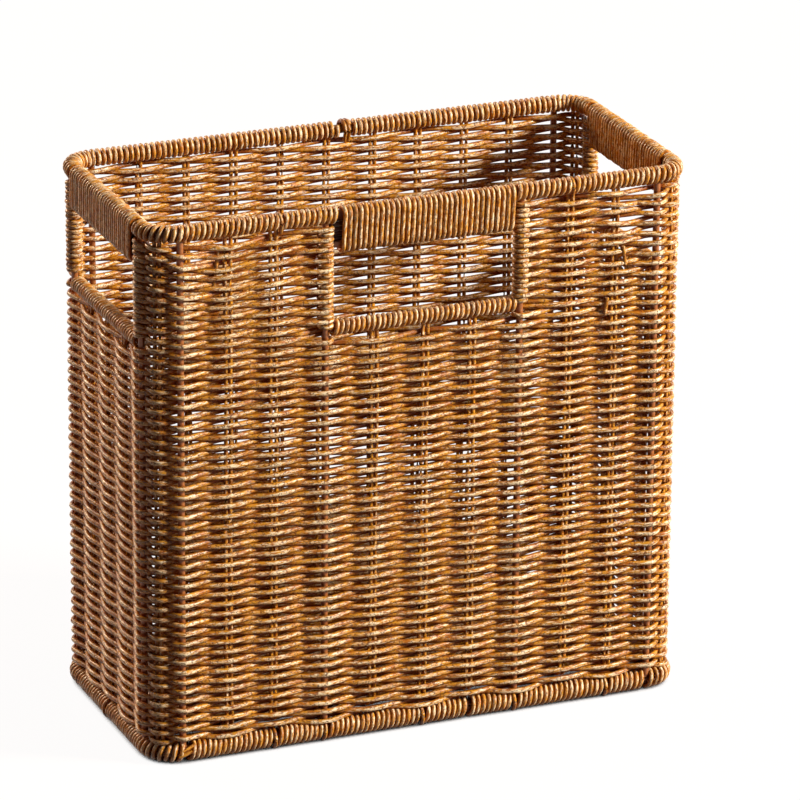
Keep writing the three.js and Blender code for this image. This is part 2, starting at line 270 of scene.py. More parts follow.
@dataclass(frozen=True)
class PlanLine:
    """A rounded rectangle in plan that a wall or a rim follows.

    Attributes:
        half_width: Half its size along X.
        half_depth: Half its size along Y.
        corner: The radius of its corners.
    """

    half_width: float
    half_depth: float
    corner: float

    @property
    def runs(self) -> tuple[float, float, float, float]:
        """Lengths of the four straight runs: front, right, back and left."""
        front = 2 * (self.half_width - self.corner)
        side = 2 * (self.half_depth - self.corner)
        return front, side, front, side

    @property
    def arc(self) -> float:
        """Length of one rounded corner."""
        return self.corner * QUARTER

    @property
    def length(self) -> float:
        """Length of the whole line."""
        return sum(self.runs) + 4 * self.arc

    def run_start(self, wall: int) -> float:
        """Ring distance at which a straight run starts."""
        return sum(self.runs[:wall]) + wall * self.arc

    def at(self, ring: float) -> tuple[Vector, Vector]:
        """Find a place on the line.

        Args:
            ring: Distance along the line.

        Returns:
            The place at z = 0 and the unit vector that points outwards there.
        """
        rest = ring % self.length
        x, y = self.runs[0] / 2, self.runs[1] / 2
        centres = (Vector((x, -y, 0)), Vector((x, y, 0)), Vector((-x, y, 0)), Vector((-x, -y, 0)))
        place, outward = Vector(), Vector()
        for wall, (run, centre) in enumerate(zip(self.runs, centres)):
            angle = wall * QUARTER
            if rest > run:
                angle += min(rest - run, self.arc) / self.corner
            outward = Vector((math.sin(angle), -math.cos(angle), 0))
            along = Vector((math.cos(angle), math.sin(angle), 0))
            place = centre + outward * self.corner
            if rest <= run:
                place += along * (rest - run)
                break
            if rest <= run + self.arc:
                break
            rest -= run + self.arc
        return place, outward

    def stretch(self, start: float, end: float, step: float, z: float) -> list["LayPoint"]:
        """Points along a stretch of the line, at one height.

        Args:
            start: Ring distance of the first point.
            end: Ring distance of the last point.
            step: Largest distance from point to point.
            z: Height of the points.

        Returns:
            The points, evenly spaced.
        """
        count = max(2, math.ceil((end - start) / step))
        points = []
        for index in range(count + 1):
            ring = start + (end - start) * index / count
            place, outward = self.at(ring)
            points.append(LayPoint(place + UP * z, outward=outward, along=ring))
        return points


@dataclass(frozen=True)
class Station:
    """A place on the wall's line where rows pass a wire or a pair of stakes.

    Attributes:
        ring: Its ring distance.
        support: What the rows pass there.
    """

    ring: float
    support: Support


@dataclass
class LayPoint:
    """One point of a strand before its cane is drawn round it.

    Attributes:
        place: Where the strand's middle line runs.
        base: The place that its unevenness is worked out from.
        outward: The direction that counts as the outside.
        row: The row of weave, which may lie between two.
        column: The station, which may lie between two.
        reach: How far the row swings out or in.
        along: Distance along the strand, for the pattern of its finish.
        tuck: One where a short row turns in behind the jamb.
        repeated: One on a path that stands for many rows.
        turn: On a rail, the turns wound so far.
        lean: On a rail, how far a turn leans for its height.
        stand: How far it stands out of what it goes round, along outward.
    """

    place: Vector
    base: Vector | None = None
    outward: Vector = field(default_factory=lambda: Vector((0, -1, 0)))
    row: float = 0.0
    column: float = 0.0
    reach: float = 0.0
    along: float = 0.0
    tuck: float = 0.0
    repeated: float = 0.0
    turn: float = 0.0
    lean: float = 0.0
    stand: float = 0.0


class Lay:
    """Open poly lines with values at each point, which a node tree turns into cane."""

    FLOATS = ("row", "column", "reach", "along", "tuck", "repeated", "turn", "lean", "stand")

    def __init__(self) -> None:
        """Start with no lines."""
        self.points: list[LayPoint] = []
        self.edges: list[tuple[int, int]] = []

    def add(self, line: Sequence[LayPoint]) -> None:
        """Add one open line.

        Args:
            line: The line's points.
        """
        start = len(self.points)
        self.points.extend(line)
        self.edges.extend((start + index, start + index + 1) for index in range(len(line) - 1))

    def to_object(self, name: str) -> bpy.types.Object:
        """Make an object of the lines, with an attribute for each value.

        Args:
            name: The object's name.

        Returns:
            The new object, linked to the scene.
        """
        mesh = bpy.data.meshes.new(name)
        mesh.from_pydata([tuple(point.place) for point in self.points], self.edges, [])
        for key in self.FLOATS:
            attribute = mesh.attributes.new(key, "FLOAT", "POINT")
            attribute.data.foreach_set("value", [getattr(point, key) for point in self.points])
        bases = [point.place if point.base is None else point.base for point in self.points]
        for key, vectors in (("base", bases), ("outward", [point.outward for point in self.points])):
            attribute = mesh.attributes.new(key, "FLOAT_VECTOR", "POINT")
            attribute.data.foreach_set("vector", [value for vector in vectors for value in vector])
        return new_object(name, mesh)


def new_tree(name: str, inputs: Inputs) -> Tree:
    """Start a geometry tree with a geometry input and output and named inputs.

    Args:
        name: The tree's name.
        inputs: The default value of each further input, or None for a material.

    Returns:
        The tree, with no nodes.
    """
    tree = bpy.data.node_groups.new(name, "GeometryNodeTree")
    for way in ("INPUT", "OUTPUT"):
        tree.interface.new_socket("Geometry", in_out=way, socket_type="NodeSocketGeometry")
    for label, value in inputs.items():
        socket = tree.interface.new_socket(label, in_out="INPUT", socket_type=SOCKETS[type(value)])
        if value is not None:
            socket.default_value = value
    return tree


def cane_skin_tree() -> Tree:
    """Build the group that draws round cane along curves.

    The curves carry along, girth, tone, facing and stand. The mesh gets lay, a place on the cane in metres
    that has no seam: two numbers round the cane and one along it. It also gets proud, which is high on the
    side that stands out of the weave and zero or less in its crevices. The finish paints shade where
    proud is low and a pale highlight where it is high.

    Returns:
        The node group.
    """
    tree = new_tree("cane_skin", {"Diameter": 2.4 * MM, "Sides": 8})
    add, run = partial(add_node, tree), partial(add_run, tree)
    given = add("NodeGroupInput").outputs
    kinds = {
        **dict.fromkeys(("along", "girth", "stand"), "FLOAT"),
        **dict.fromkeys(("around", "centre", "facing"), "FLOAT_VECTOR"),
    }
    named = {name: add(NAMED, {"Name": name}, data_type=kind) for name, kind in kinds.items()}
    place = add("GeometryNodeInputPosition")
    radius = run(MATHS, given["Diameter"], ("MULTIPLY", 0.5))

    curve = {"Geometry": given["Geometry"], "Name": "centre", "Value": place}
    curve = add(STORE, curve, data_type="FLOAT_VECTOR")
    circle = add("GeometryNodeCurvePrimitiveCircle", {"Resolution": given["Sides"], "Radius": 1.0})
    circle = {"Geometry": circle, "Name": "around", "Value": place}
    circle = add(STORE, circle, data_type="FLOAT_VECTOR")
    scale = run(MATHS, radius, ("MULTIPLY", named["girth"]))
    tube = {"Curve": curve, "Profile Curve": circle, "Scale": scale, "Fill Caps": True}
    tube = add("GeometryNodeCurveToMesh", tube)
    ring = add(VECTORS, {0: named["around"], "Scale": radius}, operation="SCALE")
    lay = run(VECTORS, ring, ("ADD", add("ShaderNodeCombineXYZ", {"Z": named["along"]})))
    side = run(VECTORS, place, ("SUBTRACT", named["centre"]), ("DOT_PRODUCT", named["facing"]))
    side = run(MATHS, side.outputs["Value"], ("DIVIDE", radius))
    stand = run(MATHS, named["stand"], ("DIVIDE", radius))
    proud = run(MATHS, side, ("MULTIPLY_ADD", stand, run(MATHS, side, ("ABSOLUTE",))))
    for name, value, kind in (("lay", lay, "FLOAT_VECTOR"), ("proud", proud, "FLOAT")):
        tube = add(STORE, {"Geometry": tube, "Name": name, "Value": value}, data_type=kind)

    tube = add("GeometryNodeSetShadeSmooth", {0: tube, "Shade Smooth": True})
    angle = add("GeometryNodeInputMeshEdgeAngle").outputs["Unsigned Angle"]
    tube = {0: tube, "Selection": run(MATHS, angle, ("GREATER_THAN", CAP_ANGLE)), "Shade Smooth": False}
    tube = add("GeometryNodeSetShadeSmooth", tube, domain="EDGE")
    add("NodeGroupOutput", {0: tube})
    return tree


def finish_tree(tree: Tree, curves: Node, given: bpy.types.NodeOutputs, skin: Tree) -> None:
    """End a tree: draw the cane, realize it and set its material.

    Args:
        tree: The tree.
        curves: The node that gives the curves to draw cane along.
        given: The outputs of the tree's group input.
        skin: The group that draws the cane.
    """
    add = partial(add_node, tree)
    tube = {"Geometry": curves, "Diameter": given["Diameter"], "Sides": given["Sides"]}
    tube = add("GeometryNodeGroup", tube, node_tree=skin)
    real = add("GeometryNodeRealizeInstances", {"Geometry": tube})
    dressed = add("GeometryNodeSetMaterial", {"Geometry": real, "Material": given["Material"]})
    add("NodeGroupOutput", {0: dressed})


CANE_INPUTS: Inputs = {
    "Diameter": 2.4 * MM, "Sides": 8, "Girth Variation": 0.1, "Seed": 0.0, "Material": None,
}


def weave_tree(skin: Tree) -> Tree:
    """Build the tree that lays rows of cane in and out of their supports.

    A line whose repeated value is one is copied once for each row, moved by the row step and swung out or
    in. Other lines keep their places. All of them get the same hand-made unevenness, which follows base
    and row, so that pieces that meet agree where they meet. Rows from Tucked From to Tucked To turn in
    where tuck is one. Within Loose Radius of Loose Place, lines are more uneven and sag. Climb and Lift
    tilt the rows, and Shade darkens a piece with painted shade.

    Args:
        skin: The group that draws the cane.

    Returns:
        The tree.
    """
    tree = new_tree("weave", {
        "Rows": 0, "Row Step": (0.0, 0.0, 2.67 * MM), "Tucked From": 0.0, "Tucked To": 0.0, "Sharpness": 0.9,
        "Drift": (0.0, 0.0, 0.0), "Drift Length": 60 * MM,
        "Jitter": (0.0, 0.0, 0.0), "Jitter Length": 20 * MM,
        "Loose Place": (0.0, 0.0, 0.0), "Loose Radius": 1 * MM, "Looseness": 0.0, "Sag": 0.0,
        "Half Size": (1.0, 1.0, 1.0), "Climb": 0.0, "Lift": 0.0, "Shade": 0.0, **CANE_INPUTS,
    })
    add, run = partial(add_node, tree), partial(add_run, tree)
    given = add("NodeGroupInput").outputs
    floats = ("repeated", "column", "row", "row_number", "reach", "along", "tuck", "stand")
    kinds = {**dict.fromkeys(floats, "FLOAT"), **dict.fromkeys(("outward", "base"), "FLOAT_VECTOR")}
    named = {name: add(NAMED, {"Name": name}, data_type=kind) for name, kind in kinds.items()}
    row, base = named["row"], named["base"]

    # One copy of the repeated line for each row
    split = {"Geometry": given["Geometry"], "Selection": named["repeated"]}
    split = add("GeometryNodeSeparateGeometry", split).outputs
    rows = add("GeometryNodePoints", {"Count": given["Rows"]})
    rows = {"Geometry": rows, "Name": "row_number", "Value": add("GeometryNodeInputIndex")}
    rows = add(STORE, rows)
    copies = add("GeometryNodeInstanceOnPoints", {"Points": rows, "Instance": split["Selection"]})
    copies = add("GeometryNodeRealizeInstances", {"Geometry": copies})
    copies = {"Geometry": copies, "Name": "row", "Value": named["row_number"]}
    copies = add(STORE, copies)

    # Out at one support and in at the next, and in at the jamb where the row is tucked
    most = run(MATHS, given["Sharpness"], ("ARCSINE",))
    swing = run(MATHS, named["column"], ("ADD", row), ("MULTIPLY", math.pi), ("COSINE",),
                ("MULTIPLY", given["Sharpness"]), ("ARCSINE",), ("DIVIDE", most))
    after = run(MATHS, row, ("SUBTRACT", given["Tucked From"]), ("GREATER_THAN", -HALF_ROW))
    before = run(MATHS, row, ("SUBTRACT", given["Tucked To"]), ("LESS_THAN", HALF_ROW))
    tucked = run(MATHS, after, ("MULTIPLY", before), ("MULTIPLY", named["tuck"]))
    swing = run(MATHS, swing, ("MAXIMUM", 0.0), ("MULTIPLY", -2.0), ("MULTIPLY_ADD", tucked, swing))
    stand = run(MATHS, swing, ("MULTIPLY", named["reach"]))
    along = run(MATHS, row, ("MULTIPLY_ADD", STRAND_GAP, named["along"]))
    for name, value in (("stand", stand), ("along", along)):
        copies = {"Geometry": copies, "Name": name, "Value": value}
        copies = add(STORE, copies)
    out = add(VECTORS, {0: named["outward"], "Scale": named["stand"]}, operation="SCALE")
    step = add(VECTORS, {0: given["Row Step"], "Scale": row}, operation="SCALE")
    copies = add("GeometryNodeSetPosition", {"Geometry": copies, "Offset": run(VECTORS, out, ("ADD", step))})
    # Tucked rows keep only part of their stand, so the painted shade between strands darkens them less
    bare = run(MATHS, tucked, ("MULTIPLY_ADD", -TUCKED_LIT_SHARE, 1.0), ("MULTIPLY", named["stand"]))
    copies = {"Geometry": copies, "Name": "stand", "Value": bare}
    copies = add(STORE, copies)
    lines = add("GeometryNodeJoinGeometry", {"Geometry": [copies, split["Inverted"]]})

    # Hand-made unevenness, more of it round the loose place
    moves = []
    for label, row_shift in (("Drift", ROW_DRIFT), ("Jitter", ROW_JITTER)):
        shift = run(MATHS, row, ("MULTIPLY_ADD", row_shift, given["Seed"]))
        scale = run(MATHS, 1.0, ("DIVIDE", given[f"{label} Length"]))
        noise = {"Vector": base, "W": shift, "Scale": scale, "Detail": 1.0}
        noise = add("ShaderNodeTexNoise", noise, noise_dimensions="4D").outputs["Color"]
        moves.append(run(VECTORS, noise, ("SUBTRACT", HALVES), ("MULTIPLY", given[label])))
    place = add("GeometryNodeInputPosition")
    away = run(VECTORS, place, ("DISTANCE", given["Loose Place"])).outputs["Value"]
    away = run(MATHS, away, ("DIVIDE", given["Loose Radius"]))
    loose = add("ShaderNodeMapRange", ranges(away, (1.0, 0.0)), interpolation_type="SMOOTHSTEP")
    sag = add("ShaderNodeCombineXYZ", {"Z": run(MATHS, loose, ("MULTIPLY", given["Sag"]))})
    loose = run(MATHS, loose, ("MULTIPLY_ADD", given["Looseness"], 1.0))
    move = add(VECTORS, {0: run(VECTORS, moves[0], ("ADD", moves[1])), "Scale": loose}, operation="SCALE")

    # Rows a little higher on one wall than on the other, and sloping, most at the middle height
    share = run(VECTORS, base, ("DIVIDE", given["Half Size"]))
    share = add("ShaderNodeSeparateXYZ", {0: share}).outputs
    height = run(VECTORS, place, ("DIVIDE", given["Half Size"]))
    height = add("ShaderNodeSeparateXYZ", {0: height}).outputs["Z"]
    arch = run(MATHS, height, ("MULTIPLY", QUARTER), ("SINE",))
    climb = run(MATHS, share["X"], ("MULTIPLY", given["Climb"]))
    rise = run(MATHS, given["Lift"], ("SUBTRACT", climb), ("MULTIPLY", share["Y"]), ("MULTIPLY", arch))
    rise = add("ShaderNodeCombineXYZ", {"Z": rise})
    move = run(VECTORS, move, ("SUBTRACT", sag), ("ADD", rise))
    lines = add("GeometryNodeSetPosition", {"Geometry": lines, "Offset": move})

    # The cane's own girth, its tone, darker by painted shade where Shade is set, and the side that faces out
    girth_shift = run(MATHS, shift, ("ADD", GIRTH_SHIFT))
    tone_shift = run(MATHS, row, ("MULTIPLY_ADD", ROW_TONE, given["Seed"]))
    noises = []
    for shift, scale in ((girth_shift, scale), (tone_shift, 1 / TONE_LENGTH)):
        noise = {"Vector": base, "W": shift, "Scale": scale, "Detail": 1.0}
        noises.append(add("ShaderNodeTexNoise", noise, noise_dimensions="4D").outputs[0])
    girth = run(MATHS, noises[0], ("SUBTRACT", 0.5), ("MULTIPLY_ADD", given["Girth Variation"], 1.0))
    tone = run(MATHS, noises[1], ("SUBTRACT", given["Shade"]))
    for name, value, kind in (
        ("girth", girth, "FLOAT"), ("tone", tone, "FLOAT"), ("facing", named["outward"], "FLOAT_VECTOR"),
    ):
        lines = add(STORE, {"Geometry": lines, "Name": name, "Value": value}, data_type=kind)
    curves = add("GeometryNodeMeshToCurve", {"Mesh": lines})
    curves = add("GeometryNodeSetCurveNormal", {"Curve": curves}, mode="Z_UP")
    finish_tree(tree, curves, given, skin)
    return tree


def winding_tree(skin: Tree) -> Tree:
    """Build the tree that winds one cane round a rail.

    The rail is one open line that carries outward, the number of turns wound so far, and how far they
    lean. A turn is a rectangle with round ends that stands square to the rail, or a circle where its width
    and height are the same.

    Args:
        skin: The group that draws the cane.

    Returns:
        The tree.
    """
    tree = new_tree("winding", {
        "Points": 600, "Turn Width": 7 * MM, "Turn Height": 7 * MM,
        "Unevenness": 0.15 * MM, "Looseness": 0.12, **CANE_INPUTS,
    })
    add, run = partial(add_node, tree), partial(add_run, tree)
    given = add("NodeGroupInput").outputs
    turn, lean = (add(NAMED, {"Name": name}) for name in ("turn", "lean"))
    outward = add(NAMED, {"Name": "outward"}, data_type="FLOAT_VECTOR")
    rail = add("GeometryNodeMeshToCurve", {"Mesh": given["Geometry"]})
    rail = add("GeometryNodeResampleCurve", {"Curve": rail, "Count": given["Points"]})

    # Where the cane is on the shape of one turn
    shape = {"Width": given["Turn Width"], "Height": given["Turn Height"]}
    shape = add("GeometryNodeCurvePrimitiveQuadrilateral", shape)
    radius = run(MATHS, given["Turn Width"], ("MULTIPLY", NEARLY_HALF_SHARE))
    shape = {"Curve": shape, "Count": FILLET_POINTS, "Radius": radius, "Limit Radius": True}
    shape = add("GeometryNodeFilletCurve", shape, mode="POLY")
    spot = {"Curves": shape, "Factor": run(MATHS, turn, ("FRACT",))}
    spot = add("GeometryNodeSampleCurve", spot, mode="FACTOR").outputs["Position"]

    # Unevenness from turn to turn
    shifted = run(MATHS, turn, ("ADD", given["Seed"]))
    slow = {"W": shifted, "Scale": TURN_SCALE, "Detail": 1.0}
    slow = add("ShaderNodeTexNoise", slow, noise_dimensions="1D").outputs["Color"]
    uneven = add("ShaderNodeSeparateXYZ", {0: run(VECTORS, slow, ("SUBTRACT", HALVES))}).outputs
    grow = run(MATHS, uneven["Y"], ("MULTIPLY_ADD", given["Looseness"], 1.0))
    spot = add(VECTORS, {0: spot, "Scale": grow}, operation="SCALE")
    parts = add("ShaderNodeSeparateXYZ", {0: spot}).outputs
    out = add(VECTORS, {0: run(VECTORS, outward, ("NORMALIZE",)), "Scale": parts["X"]}, operation="SCALE")
    away = run(VECTORS, out, ("ADD", add("ShaderNodeCombineXYZ", {"Z": parts["Y"]})))
    slip = run(MATHS, given["Unevenness"], ("MULTIPLY", 2.0), ("MULTIPLY", uneven["X"]))
    slip = run(MATHS, parts["Y"], ("MULTIPLY_ADD", lean, slip))
    slip = add(VECTORS, {0: add("GeometryNodeInputTangent"), "Scale": slip}, operation="SCALE")

    # The side that faces out is the one away from the straight middle of the turn
    flat = run(MATHS, given["Turn Height"], ("SUBTRACT", given["Turn Width"]), ("MULTIPLY", 0.5))
    centre = {"Value": parts["Y"], "Min": run(MATHS, flat, ("MULTIPLY", -1.0)), "Max": flat}
    centre = add("ShaderNodeCombineXYZ", {"Z": add("ShaderNodeClamp", centre)})
    facing = run(VECTORS, away, ("SUBTRACT", centre), ("NORMALIZE",))
    line = add("GeometryNodeSetPosition", {"Geometry": rail, "Offset": run(VECTORS, away, ("ADD", slip))})
    stand = run(MATHS, given["Diameter"], ("MULTIPLY", 0.5))

    # The cane's own length, girth and tone
    length = add("GeometryNodeSplineParameter").outputs["Length"]
    along = run(MATHS, length, ("ADD", given["Seed"]))
    girth = run(MATHS, uneven["Z"], ("MULTIPLY_ADD", given["Girth Variation"], 1.0))
    tone = {"W": shifted, "Scale": TURN_TONE_SCALE, "Detail": 2.0}
    tone = add("ShaderNodeTexNoise", tone, noise_dimensions="1D").outputs[0]
    for name, value, kind in (
        ("facing", facing, "FLOAT_VECTOR"), ("stand", stand, "FLOAT"), ("along", along, "FLOAT"),
        ("girth", girth, "FLOAT"), ("tone", tone, "FLOAT"),
    ):
        line = add(STORE, {"Geometry": line, "Name": name, "Value": value}, data_type=kind)
    finish_tree(tree, line, given, skin)
    return tree


@dataclass
class Workshop:
    """The node trees and finishes that all sub-assemblies share.

    Attributes:
        weave: The tree that lays rows and strands.
        winding: The tree that winds cane round a rail.
        materials: The finish of each slot.
        kept: Names of the attributes that a finished mesh keeps.
    """

    weave: Tree
    winding: Tree
    materials: dict[Slot, bpy.types.Material]
    kept: tuple[str, ...] = ("lay", "tone", "proud", "position", "sharp_edge", "material_index")

    def make(
        self, name: str, lay: Lay, slot: Slot, replaces: Sequence[str], settings: Inputs,
        wound: bool = False,
    ) -> None:
        """Turn lines into a finished piece of cane or wire, as a plain mesh.

        Args:
            name: The piece's name.
            lay: The lines.
            slot: The kind of finish, which picks its material.
            replaces: The CAD nodes that the piece stands for.
            settings: The tree's inputs, by name.
            wound: Whether the line is a rail that cane is wound round.
        """
        tree = self.winding if wound else self.weave
        piece = lay.to_object(name)
        modifier = piece.modifiers.new(tree.name, "NODES")
        modifier.node_group = tree
        values = {"Material": self.materials[slot], **settings}
        names = {item.name: item.identifier for item in tree.interface.items_tree if item.in_out == "INPUT"}
        for key, value in values.items():
            modifier[names[key]] = value
        piece.update_tag()
        graph = bpy.context.evaluated_depsgraph_get()
        mesh = bpy.data.meshes.new_from_object(piece.evaluated_get(graph), depsgraph=graph)
        piece.modifiers.clear()
        piece.data = mesh
        mesh.name = name
        for attribute in list(mesh.attributes):
            if attribute.name not in self.kept and not attribute.is_internal and not attribute.is_required:
                mesh.attributes.remove(attribute)
        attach(piece, "root")
        if replaces:
            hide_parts(*replaces)
        log.info("%s: %d faces", name, len(mesh.polygons))


@dataclass
class SubAssembly:
    """A part of the basket, made in the workshop.

    Attributes:
        workshop: The shared trees and finishes.
    """

    workshop: Workshop


@dataclass(frozen=True)
class Cane:
    """A size of cane and how evenly it was drawn and laid.

    Attributes:
        diameter: Its thickness.
        sides: Sides of its section.
        variation_share: How far its girth varies.
        drift: Slow unevenness of its place, along X, Y and Z.
        jitter: Quick unevenness of its place, along X, Y and Z.
    """

    diameter: float
    sides: int = 8
    variation_share: float = 0.25
    drift: Triple = (0.0, 0.0, 0.0)
    jitter: Triple = (0.0, 0.0, 0.0)

    def settings(self) -> Inputs:
        """The weave tree's inputs for this cane."""
        return {
            "Diameter": self.diameter, "Sides": self.sides, "Girth Variation": self.variation_share,
            "Drift": self.drift, "Jitter": self.jitter,
        }


@dataclass(frozen=True)
class LoosePatch:
    """A part of the walls where the rows were laid more loosely.

    Attributes:
        x: Where its middle is on the front wall.
        z: Height of its middle.
        radius: How far it reaches.
        looseness: How many times more uneven its middle is than the rest, less one.
        sag: How far the rows hang down at its middle.
    """

    x: float
    z: float
    radius: float
    looseness: float
    sag: float = 0.0

    def settings(self, half_depth: float) -> Inputs:
        """The weave tree's inputs for this patch, given half the walls' depth."""
        return {
            "Loose Place": (self.x, -half_depth, self.z), "Loose Radius": self.radius,
            "Looseness": self.looseness, "Sag": self.sag,
        }


@dataclass
class WallWeave(SubAssembly):
    """The woven walls: rows of cane in front of one support and behind the next.

    Attributes:
        plan: The wall's middle line.
        bottom: Lowest height of the weave.
        top: Highest height of the weave.
        sill_bottom: Underside of the wrapped sills.
        wire: Diameter of the frame wire.
        cane: The weft.
        row_count: Rows from the base rim to the top rim.
        stake: Diameter of one stake strand.
        clearance: Space between a row and what it passes.
        first_rise: From the foot of the weave to the middle of the first row.
        step: Distance from point to point along a row.
        fewest_steps: Steps in half the way from one station to the next, at least.
        end_share: Where a panel's second point lies on the way to its next station, so that two panels meet
            squarely.
        bare_rows: Rows from the last that passes a jamb below the hand hole to the first turn round it.
        turn_steps: Points on one turn round a jamb.
        turn_rise_share: How much of a row's height the outer half of such a turn climbs.
        jamb_stand_share: How much of such a turn's reach counts as standing out.
        climb_share: How far rows slope along the front and back, as a share of the pitch.
        lift_share: How far they stand higher on the back than on the front, as a share of the pitch.
        back_girth_share: Thickness of the back wall's cane beside the weft's.
        foot_drop_share: How far the foot row lies under row 0, as a share of the pitch.
        foot_settle_share: How much further it settles where it is outside.
        foot_shift: What sets its pattern apart.
        edge_drop_share: How far the edge strand lies under row 0, as a share of the pitch.
        edge_inset: How far it lies inside the rows' inner side.
        edge_shift: What sets its pattern apart.
        left_loose: The loose patch that the left walls share.
        right_loose: The loose patch that the right walls share.
        stations: The wires and stakes that the rows pass, in ring order.
        first_row_z: Height of row 0.
        pitch: From row to row.
        low_rows: Rows below the hand holes.
    """

    plan: PlanLine
    bottom: float
    top: float
    sill_bottom: float
    wire: float
    cane: Cane = Cane(
        diameter=2.8 * MM, drift=(0.5 * MM, 0.5 * MM, 1.0 * MM), jitter=(0.9 * MM, 0.9 * MM, 1.0 * MM),
    )
    row_count: int = 100
    stake: float = 2.0 * MM
    clearance: float = -0.04 * MM
    first_rise: float = 2.7 * MM
    step: float = 2.2 * MM
    fewest_steps: int = 3
    end_share: float = 0.02
    bare_rows: int = 3
    turn_steps: int = 16
    turn_rise_share: float = 0.12
    jamb_stand_share: float = 0.45
    climb_share: float = 0.45
    lift_share: float = 0.47
    back_girth_share: float = 1.05
    foot_drop_share: float = 0.72
    foot_settle_share: float = 0.25
    foot_shift: float = 3.1
    edge_drop_share: float = 0.82
    edge_inset: float = 1.2 * MM
    edge_shift: float = 7.7
    left_loose: LoosePatch = LoosePatch(-112 * MM, 270 * MM, 50 * MM, 2.6, 3.2 * MM)
    right_loose: LoosePatch = LoosePatch(112 * MM, 266 * MM, 58 * MM, 3.7)
    stations: list[Station] = field(default_factory=list)
    first_row_z: float = field(init=False)
    pitch: float = field(init=False)
    low_rows: int = field(init=False)

    def __post_init__(self) -> None:
        """Work out the stations and the rows."""
        shares = (FRONT_SHARES, SIDE_SHARES, BACK_SHARES, SIDE_SHARES)
        for wall, wall_shares in enumerate(shares):
            start, run = self.plan.run_start(wall), self.plan.runs[wall]
            self.stations.append(Station(start, Support.WIRE))
            for index, share in enumerate(wall_shares):
                is_jamb = wall == 0 and index in FRONT_JAMBS
                support = Support.WIRE if is_jamb else Support.STAKES
                self.stations.append(Station(start + run * (share + 1) / 2, support))
            self.stations.append(Station(start + run, Support.WIRE))
            self.stations.append(Station(start + run + self.plan.arc / 2, Support.STAKES))
        self.first_row_z = self.bottom + self.first_rise
        last_row_z = self.top - self.cane.diameter / 2
        self.pitch = (last_row_z - self.first_row_z) / (self.row_count - 1)
        room = self.sill_bottom - self.cane.diameter / 2 - self.first_row_z
        self.low_rows = math.ceil(room / self.pitch)

    def ring(self, station: float) -> float:
        """Find the ring distance of a station.

        Args:
            station: Its number, which may be past the first round or between two.

        Returns:
            The distance along the wall's middle line.
        """
        whole = math.floor(station)
        places = []
        for number in (whole, whole + 1):
            rounds, index = divmod(number, len(self.stations))
            places.append(self.stations[index].ring + rounds * self.plan.length)
        return places[0] + (places[1] - places[0]) * (station - whole)

    def reach(self, station: int) -> float:
        """Find how far a row's middle line swings out.

        Args:
            station: The number of the wire or the stakes that it passes.

        Returns:
            From the wall's middle line to the row's.
        """
        support = self.stations[station % len(self.stations)].support
        thickness = self.wire if support is Support.WIRE else self.stake
        return (thickness + self.cane.diameter) / 2 + self.clearance

    def path(self, first: int, last: int, hole: Hole) -> list[LayPoint]:
        """The line that all rows of a panel repeat, at the height of row 0.

        Args:
            first: The station where the panel starts.
            last: The station where it ends.
            hole: Where it meets a hand hole.

        Returns:
            The line's points.
        """
        points = []
        for station in range(first, last):
            start, end = self.ring(station), self.ring(station + 1)
            steps = 2 * max(self.fewest_steps, round((end - start) / 2 / self.step))
            shares = [index / steps for index in range(steps)]
            if station == first:
                shares.insert(1, self.end_share)
            if station + 1 == last:
                shares += [1 - self.end_share, 1.0]
            for share in shares:
                place, outward = self.plan.at(start + (end - start) * share)
                place += UP * self.first_row_z
                reach = self.reach(station) * (1 - share) + self.reach(station + 1) * share
                at_first = hole is Hole.AT_FIRST and station == first and share <= 0.5
                at_last = hole is Hole.AT_LAST and station + 1 == last and share >= 0.5
                points.append(LayPoint(
                    place, base=place.copy(), outward=outward, column=station + share, reach=reach,
                    along=start + (end - start) * share, tuck=float(at_first or at_last), repeated=1.0,
                ))
        return points

    def jamb_turn(self, station: int, sign: int, row: int, start: float, end: float) -> list[LayPoint]:
        """The cane that joins one row to the next round a jamb.

        It leaves the row outside, goes round the wire and comes back on the inside, one row up.

        Args:
            station: The jamb's station.
            sign: 1 where the hand hole lies further along the ring, or else -1.
            row: The row that comes in on the outside.
            start: Where it starts, in turns from the outside.
            end: Where it ends, in turns from the outside.

        Returns:
            The turn's points.
        """
        centre, outward = self.plan.at(self.ring(station))
        side = UP.cross(outward) * sign
        base = centre + UP * self.first_row_z
        reach = self.reach(station)
        points = []
        count = round((end - start) * self.turn_steps)
        for index in range(count + 1):
            turn = start + index / self.turn_steps
            angle = turn * TURN
            steep = min(max((turn - 0.5) / 0.5, 0), 1)
            steep = steep * steep * (3 - 2 * steep)
            rise = self.turn_rise_share * min(max(turn, 0) / 0.5, 1) + (1 - self.turn_rise_share) * steep
            offset = outward * math.cos(angle) + side * math.sin(angle)
            place = base + offset * reach + UP * (row + rise) * self.pitch
            points.append(LayPoint(
                place, base=base.copy(), outward=offset, row=row + rise,
                along=self.ring(station) + row + reach * angle, stand=reach * self.jamb_stand_share,
            ))
        return points

    def foot_row(self, path: Sequence[LayPoint]) -> list[LayPoint]:
        """The lowest row, which lies on the base rim and settles over its shoulder where it is outside.

        Args:
            path: The line that the panel's rows repeat.

        Returns:
            The row's points.
        """
        points = []
        for point in path:
            swing = math.cos(math.pi * (point.column - 1))
            sink = (self.foot_drop_share + max(swing, 0) * self.foot_settle_share) * self.pitch
            place = point.place + point.outward * point.reach * swing - UP * sink
            points.append(LayPoint(
                place, base=point.base, outward=point.outward, row=-1.0, along=point.along + self.foot_shift,
                stand=point.reach * swing,
            ))
        return points

